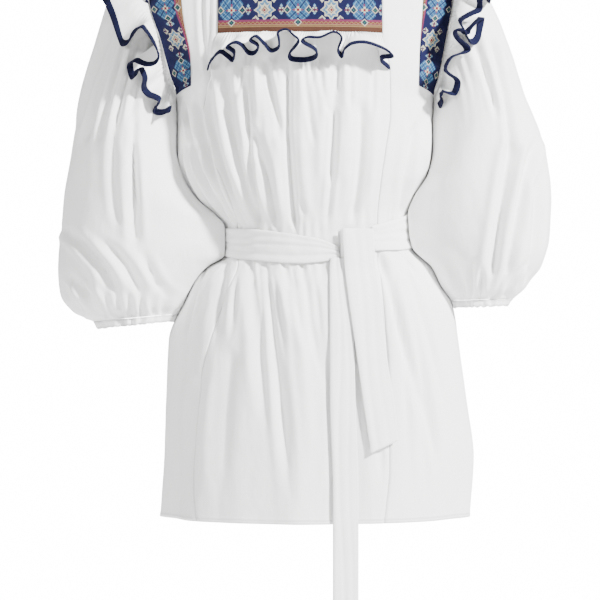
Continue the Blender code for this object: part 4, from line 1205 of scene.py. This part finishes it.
# The frills: gathered strips of the poplin. Their free edge waves from lobes that lie on the
# cloth below to lobes that stand well off it, and is bound in navy bias tape with two turned
# edges. Each table follows the picture's edge; the hidden part goes on in the same manner.
Rim = namedtuple("Rim", "along rise width")
CHEST_RIM = [
    Rim(-137, -1, 53), Rim(-128, 18, 48), Rim(-112, 39, 48), Rim(-103, 26, 48), Rim(-99, 15, 48),
    Rim(-94, 35, 48), Rim(-102, 48, 48), Rim(-91, 55, 48), Rim(-82, 48, 48), Rim(-76, 33, 48),
    Rim(-68, 31, 48), Rim(-62, 45, 48), Rim(-72, 57, 48), Rim(-64, 64, 48), Rim(-54, 50, 48),
    Rim(-46, 35, 48), Rim(-36, 41, 48), Rim(-35, 55, 48), Rim(-36, 69, 48), Rim(-25, 74, 48),
    Rim(-16, 64, 48), Rim(-9, 52, 48), Rim(-22, 28, 48), Rim(-20, 12, 48), Rim(-3, 8, 48),
    Rim(12, 18, 48), Rim(12, 35, 48), Rim(-6, 52, 48), Rim(0, 60, 48), Rim(16, 60, 48),
    Rim(34, 70, 48), Rim(45, 60, 48), Rim(41, 37, 48), Rim(47, 21, 48), Rim(48, 37, 48),
    Rim(57, 50, 48), Rim(74, 54, 48), Rim(95, 47, 48), Rim(111, 37, 53), Rim(101, 23, 48),
    Rim(102, 12, 48), Rim(116, -1, 53),
]
LEFT_RIM = [
    Rim(-144, 30, 34), Rim(-136, 40, 42), Rim(-127, 22, 52), Rim(-116, 44, 64),
    Rim(-108, 50, 72), Rim(-106, 24, 78), Rim(-99, 6, 82), Rim(-92, 8, 84), Rim(-92, 36, 86),
    Rim(-84, 56, 88), Rim(-76, 40, 88), Rim(-76, 10, 88), Rim(-64, 2, 88), Rim(-52, 10, 90),
    Rim(-50, 40, 90), Rim(-41, 54, 90), Rim(-33, 38, 90), Rim(-32, 10, 90), Rim(-20, 2, 90),
    Rim(-9, 10, 91), Rim(-7, 38, 91), Rim(2, 52, 91), Rim(12, 38, 91), Rim(14, 10, 91),
    Rim(24, 2, 91), Rim(33, 7, 91), Rim(42, 2, 91), Rim(52, 1, 91), Rim(59, -1, 91),
    Rim(66, 0, 90), Rim(68.5, 9, 90), Rim(68, 18, 90), Rim(67, 26, 91), Rim(67.5, 34, 91),
    Rim(70, 39, 90), Rim(75, 42, 90), Rim(83, 47, 94), Rim(91, 50, 97), Rim(95.5, 49, 94),
    Rim(97.5, 45, 91), Rim(96.5, 38, 92), Rim(92, 31, 96), Rim(87, 24, 96), Rim(82, 16, 94),
    Rim(80, 6, 92), Rim(80.5, -1, 92), Rim(84, -2, 94), Rim(87, -1, 96), Rim(87, 5, 97),
    Rim(86, 12, 96), Rim(88, 20, 97), Rim(92, 21, 97), Rim(95.5, 17, 93), Rim(97.5, 10, 92),
    Rim(101, 4, 87), Rim(106.5, 4, 82), Rim(110.5, 9.5, 79), Rim(114, 14, 77),
    Rim(116, 14, 76), Rim(118, 6, 77), Rim(120, -1, 77), Rim(122, 5, 78), Rim(123.5, 18, 78),
    Rim(129, 30, 62), Rim(136, 20, 50), Rim(144, 22, 36),
]
RIGHT_RIM = [
    Rim(-144, 32, 30), Rim(-137, 40, 38), Rim(-129, 22, 46), Rim(-118, 44, 54),
    Rim(-108, 52, 60), Rim(-105, 26, 64), Rim(-96, 6, 68), Rim(-87, 12, 70), Rim(-86, 40, 72),
    Rim(-78, 56, 74), Rim(-70, 38, 76), Rim(-68, 8, 78), Rim(-57, 2, 78), Rim(-46, 10, 80),
    Rim(-44, 38, 80), Rim(-36, 52, 80), Rim(-28, 38, 80), Rim(-26, 10, 80), Rim(-14, 2, 80),
    Rim(-4, 10, 81), Rim(-3, 38, 81), Rim(6, 54, 81), Rim(15, 40, 81), Rim(18, 10, 82),
    Rim(28, 2, 82), Rim(39, 8, 82), Rim(44, 30, 82), Rim(51, 38, 82), Rim(56, 33, 82),
    Rim(57, 27, 82), Rim(59, 26, 82), Rim(63, 32, 82), Rim(67, 37, 82), Rim(68.5, 35, 82),
    Rim(69.5, 29, 81), Rim(71.5, 21, 79), Rim(74, 12, 76), Rim(74.5, 5, 75), Rim(71, 1, 79),
    Rim(65, -1, 82), Rim(60, -1, 82), Rim(55, 0, 82), Rim(52, 2, 81), Rim(56, 11, 82),
    Rim(61, 19, 82), Rim(66, 22, 82), Rim(69, 20, 81), Rim(69, 25, 81), Rim(70.5, 31, 80),
    Rim(73.5, 35, 77), Rim(76.5, 35, 74), Rim(78.3, 31, 72), Rim(78.4, 23, 72),
    Rim(78, 10, 72), Rim(79.5, 3, 72), Rim(82.6, 6, 70), Rim(86.5, 15.5, 69),
    Rim(91, 23.5, 67), Rim(95.5, 29, 66), Rim(99, 31, 67), Rim(102, 29, 67),
    Rim(102.2, 18, 67), Rim(102, 7, 67), Rim(103.5, 0, 67), Rim(106.5, -1, 68),
    Rim(110, 0, 68), Rim(113, 2, 66), Rim(117, 26, 58), Rim(124, 52, 50), Rim(132, 30, 42),
    Rim(144, 24, 32),
]
FRILL_LIFT = 2.2
CHEST_START = CLOTH + 0.6
# A shoulder frill stands no more than this many degrees round from the opening.
FRILL_LEAN = 116
FRILL_ROWS = 17
EDGE_BACK = 1.0
FRILL_GATHER = 1.1


def smooth_rim(rim, per_span=12):
    """The rim's table on a smooth curve through its rows."""
    rows = np.array([tuple(row) for row in rim], float)
    padded = np.concatenate([rows[:1], rows, rows[-1:]])
    t = np.linspace(0, 1, per_span, endpoint=False)[:, None]
    spans = []
    for a, b, c, d in zip(padded, padded[1:], padded[2:], padded[3:]):
        spans.append(0.5 * (
            2 * b + (c - a) * t + (2 * a - 5 * b + 4 * c - d) * t**2
            + (3 * b - a - 3 * c + d) * t**3
        ))
    return np.concatenate(spans + [rows[-1:]]).T


def swing_up(start, lying, tangent, reach, rise, sign):
    """Turns lying points up round the seam by the rise; also gives the way they face."""
    flat = unit(lying - start)
    up = unit(np.cross(tangent, flat)) * sign
    angle = np.radians(rise)[..., None]
    ray = flat * np.cos(angle) + up * np.sin(angle)
    return start + ray * reach[..., None], up * np.cos(angle) - flat * np.sin(angle)


def on_front(x, level, lift):
    """Points this far off the plain front at an x and a height, and their outward directions."""
    base, outward = body_base(turn_of(x, level), level)
    return base + outward * lift[..., None], outward


def chest_place(x, reach, rise):
    seam = RIBBON_FOOT - 1.6 + 0 * x
    start = on_front(x, seam, CHEST_START + 0 * x)[0]
    lift = CHEST_START + FRILL_LIFT * np.minimum(1, (reach + 1) / 12)
    lying = on_front(x, seam - reach - 1, lift)[0]
    tangent = on_front(x + 1, seam, 0 * x)[0] - on_front(x - 1, seam, 0 * x)[0]
    return swing_up(start, lying, tangent, reach, rise, -1)


def shoulder_place(side):
    """Places on the sleeve are looked up in a table by turn and by distance from its seam."""
    turns = np.arange(-180, 181, 2.0)
    rows = np.linspace(0, 6.5, 110)
    grid_turns, grid_rows = np.meshgrid(turns, rows)
    sleeve = sleeve_point(side, grid_turns, grid_rows, False)[0]
    steps = np.linalg.norm(np.diff(sleeve, axis=0), axis=-1)
    gone = np.concatenate([np.zeros((1, len(turns))), np.cumsum(steps, 0)])
    reaches = np.arange(0, 118, 2.0)
    on_sleeve = np.zeros((len(reaches), len(turns), 3))
    for column in range(len(turns)):
        for axis in range(3):
            along = sleeve[:, column, axis]
            on_sleeve[:, column, axis] = np.interp(reaches, gone[:, column], along)
    facing = sleeve_point(side, *np.meshgrid(turns, reaches / 30), False)[1]
    normals = outward_of(on_sleeve, facing)

    def look_up(table, turn, reach):
        column = np.clip((turn + 180) / 2, 0, len(turns) - 1.001)
        row = np.clip(reach / 2, 0, len(reaches) - 1.001)
        c, r = column.astype(int), row.astype(int)
        u, v = (column - c)[..., None], (row - r)[..., None]
        top = table[r, c] * (1 - u) + table[r, c + 1] * u
        foot = table[r + 1, c] * (1 - u) + table[r + 1, c + 1] * u
        return top * (1 - v) + foot * v

    def place(turn, reach, rise):
        start = armhole_point(side, turn, FRILL_START)
        out = armhole_point(side, turn, (FRILL_START[0] + 1, FRILL_START[1])) - start
        into = armhole_point(side, turn, (FRILL_START[0], FRILL_START[1] + 1)) - start
        far = reach + 1
        lift = FRILL_LIFT * np.minimum(1, far / 10) + 0.8
        lying = look_up(on_sleeve, turn, far) + look_up(normals, turn, far) * lift[..., None]
        tangent = armhole_point(side, turn + 1, FRILL_START)
        tangent = tangent - armhole_point(side, turn - 1, FRILL_START)
        flat = lying - start
        lean = np.arctan2(np.sum(flat * out, -1), np.sum(flat * into, -1))
        rise = np.minimum(rise, FRILL_LEAN - np.degrees(lean))
        return swing_up(start, lying, tangent, reach, rise, side)

    return place


NAVY_TAPE = (0.004, 0.005, 0.024)
NAVY_DARK = (0.0025, 0.0032, 0.016)
NAVY_LIGHT = (0.0045, 0.0055, 0.028)


def tape_finish():
    """Navy cotton cut on the bias, so its threads run aslant."""
    finish = Finish("navy_binding_weave", NAVY_TAPE, 0.85)
    across, along = finish.cloth_place()
    thread = finish.threads(across + along, across - along, THREAD_PITCH)
    colour = finish.mix(finish.noise(260, 2), NAVY_DARK, NAVY_LIGHT)
    return finish.done(colour, finish.bump(thread, 0.00008, 0.8))


navy = tape_finish()
FRILL_WALL = 0.6
TAPE_WALL = 0.35
BINDING_ROWS = (
    # How far back from the frill's edge, and how far off the middle of its cloth.
    (7.0, 0.6), (6.7, 1.1), (5.6, 1.4), (3.6, 1.35), (1.6, 1.45), (0.4, 1.2), (-0.3, 0.65),
    (-0.5, 0.0), (-0.3, -0.65), (0.4, -1.2), (1.6, -1.45), (3.6, -1.35), (5.6, -1.4),
    (6.7, -1.1), (7.0, -0.6),
)


def make_frill(name, rim, seam, place, columns, gathers, bound_width):
    """A frill and its binding: seam holds where its gathered edge starts and ends."""
    along, rise, width = smooth_rim(rim)
    edge = place(along, width, rise)[0]
    run = np.concatenate([[0], np.cumsum(np.linalg.norm(np.diff(edge, axis=0), axis=-1))])
    even = np.linspace(0, run[-1], columns)
    along, rise, width = (np.interp(even, run, values) for values in (along, rise, width))
    share = even / run[-1]
    foot = seam[0] + (seam[1] - seam[0]) * share
    window = np.hanning(columns // 9)
    padded = np.pad(rise, len(window) // 2, mode="edge")
    mean = np.convolve(padded, window / window.sum(), mode="same")
    mean = mean[len(window) // 2:][:columns]
    shares = spread(0, 1, FRILL_ROWS)[:, None]
    own = ease(shares, -0.1, 0.8)
    rises = mean * (1 - own) + rise * own
    reach = (width - EDGE_BACK) * shares
    station = foot + (along - foot) * shares
    points, faces = place(station, reach, rises)
    puckers = np.cos(2 * np.pi * gathers * share + 2.5 * np.sin(2 * np.pi * 9 * share))
    puckers = puckers * ease(shares, 0, 0.08) * (1 - ease(shares, 0.1, 0.62))
    points = points + faces * (FRILL_GATHER * puckers)[..., None]
    points = points + faces * (0.5 * soft_noise(points, 14, 14, 2.7) * shares)[..., None]
    cloth_piece(name, points, poplin, FRILL_WALL, faces)
    normals = outward_of(points, faces)[-1]
    back = unit(points[-3] - points[-1])
    rim_points = points[-1] - normals * 0.3 - back * EDGE_BACK
    offsets = np.array(BINDING_ROWS) * (bound_width / BINDING_ROWS[0][0], 1)
    bound = (
        rim_points + back * offsets[:, 0, None, None] + normals * offsets[:, 1, None, None]
    )
    away = normals * offsets[:, 1, None, None] - back * (0.6 - 0.1 * offsets[:, 0, None, None])
    binding = name.replace("ruffle", "ruffle_binding")
    cloth_piece(binding, bound, navy, TAPE_WALL, away)


CHEST_SEAM = (-122, 105)
SHOULDER_SEAM = (-146, 146)
CHEST_BOUND = 7.6
SHOULDER_BOUND = 10.0
make_frill("chest_ruffle", CHEST_RIM, CHEST_SEAM, chest_place, 460, 74, CHEST_BOUND)
for side, side_name, rim in ((-1, "left", LEFT_RIM), (1, "right", RIGHT_RIM)):
    make_frill(
        f"shoulder_ruffle_{side_name}", rim, SHOULDER_SEAM, shoulder_place(side), 620, 96,
        SHOULDER_BOUND,
    )


# The tie belt: a turned tube of the poplin, pressed flat, twice round into one knot left of the
# wearer's middle. Its short end comes over the knot and its long end hangs out beneath.
BELT_LIFT = CLOTH + 1.4
BELT_FACE = BELT_LIFT + 2.0
BELT_WALL = 1.2
BeltCrease = namedtuple("BeltCrease", "depth share drift waves start width")
BELT_CREASES = (
    BeltCrease(1.5, 0.28, 0.06, 3, 0, 0.07),
    BeltCrease(1.7, 0.56, 0.07, 2, 1, 0.06),
    BeltCrease(1.2, 0.8, 0.05, 4, 2, 0.06),
)
turns, shares = np.meshgrid(spread(BELT[0].turn, BELT[-1].turn, 420), spread(0, 1, 18))
lift = BELT_FACE
for line in BELT_CREASES:
    drift = line.drift * np.sin(line.waves * np.radians(turns) + line.start)
    lift = lift - line.depth * bell(shares - line.share - drift, line.width)
lift = lift - 1.2 * (ease(abs(shares - 0.5), 0.42, 0.5))
top, foot = read(BELT, "top", turns), read(BELT, "foot", turns)
base, out = body_base(turns, foot + (top - foot) * shares)
points = base + out * lift[..., None]
points = points + out * (0.7 * soft_noise(points, 22, 9, 6.1))[..., None]
cloth_piece("belt_wrap", points, poplin, BELT_WALL, out)

Knot = namedtuple("Knot", "left right top foot depth")
KNOT = Knot(47.2, 90.0, -398.0, -439.0, 8.5)
KNOT_WALL = 1.0
u, v = np.meshgrid(spread(-1, 1, 48), spread(-1, 1, 48))
x = (KNOT.left + KNOT.right) / 2 + u * (KNOT.right - KNOT.left) / 2
z = (KNOT.top + KNOT.foot) / 2 + v * (KNOT.top - KNOT.foot) / 2
rounded = np.sqrt(np.clip((1 - abs(u) ** 3.4) * (1 - abs(v) ** 3.4), 0, 1))
tucks = bell(u - 0.5 * v - 0.1, 0.13) + 0.7 * bell(u - 0.4 * v + 0.5, 0.1)
points, out = on_front(x, z, BELT_LIFT + 0.4 + (KNOT.depth - 1.2 * tucks) * rounded)
cloth_piece("belt_knot", points, poplin, KNOT_WALL, out)

Tail = namedtuple("Tail", "z left right lift")
TAIL_LONG = [
    Tail(-974, 36, 71, 5.4),
    Tail(-759, 36, 71, 5.4),
    Tail(-629, 32, 67, 5.4),
    Tail(-520, 32, 65, 5.4),
    Tail(-476, 32, 60, 5.4),
    Tail(-452, 32, 58, 6.8),
    Tail(-439.6, 33, 57, 7.0),
]
TAIL_SHORT = [
    Tail(-700, 86, 124, 9.4),
    Tail(-655, 79, 121, 9.4),
    Tail(-575, 68, 109, 9.4),
    Tail(-497, 57, 101, 10.0),
    Tail(-458, 52, 95, 12.4),
    Tail(-430, 49, 91, 14.6),
    Tail(-405, 47, 89, 14.8),
    Tail(-397, 47, 88, 13.6),
]
TAIL_WIDTH = 38.0
TAIL_STITCH = 2.6
TAIL_WALL = 0.9
TAIL_THREAD_GREY = (0.7, 0.7, 0.72)


def tail_finish():
    """Poplin with a line of stitches inside each long edge."""
    finish = Finish("white_poplin_tail", POPLIN_WHITE, POPLIN_ROUGHNESS)
    across, along = finish.cloth_place()
    away = abs(abs(across - TAIL_WIDTH / 2) - (TAIL_WIDTH / 2 - TAIL_STITCH))
    stitched, height = stitches(away, along)
    colour = finish.mix(finish.noise(14, 3), POPLIN_SHADE, POPLIN_WHITE)
    colour = finish.mix(stitched * 0.35, colour, TAIL_THREAD_GREY)
    normal = finish.bump(finish.noise(38, 3, (1, 1, 0.45)), 0.0022, 0.5)
    thread = finish.threads(across, along, THREAD_PITCH)
    normal = finish.bump(thread, THREAD_HEIGHT, 0.6, normal)
    return finish.done(colour, finish.bump(height, 0.0004, 0.8, normal))


def make_tail(node, table, rows, slant, seed, finish):
    """A hanging belt end; its foot is cut aslant."""
    shares, heights = np.meshgrid(spread(0, 1, 20), rows)
    foot = rows.min()
    heights = heights + slant * shares * ease(foot + 60 - heights, 0, 60)
    left, right = read(table, "left", heights), read(table, "right", heights)
    x = left + (right - left) * shares
    points, outward = on_front(x, np.maximum(heights, HEM), read(table, "lift", heights))
    points[..., 2] = heights
    curl = ease(abs(shares - 0.5), 0.4, 0.5)
    dents = 0.9 * bell(shares - 0.36 - 0.1 * np.sin(heights / 60 + seed), 0.08)
    dents = dents + 0.7 * bell(shares - 0.7 - 0.08 * np.sin(heights / 45 + 2 * seed), 0.07)
    moved = 0.7 * soft_noise(points, 18, 60, seed) - curl - dents
    points = points + outward * moved[..., None]
    flat = np.stack([shares * TAIL_WIDTH, heights - foot], -1)
    cloth_piece(node, points, finish, TAIL_WALL, outward, flat=flat)


tail_cloth = tail_finish()
make_tail("belt_tail_long", TAIL_LONG, spread(-974, -438, 150), 0, 4.4, tail_cloth)
make_tail("belt_tail_short", TAIL_SHORT, spread(-709, -397, 100), 17, 9.2, tail_cloth)
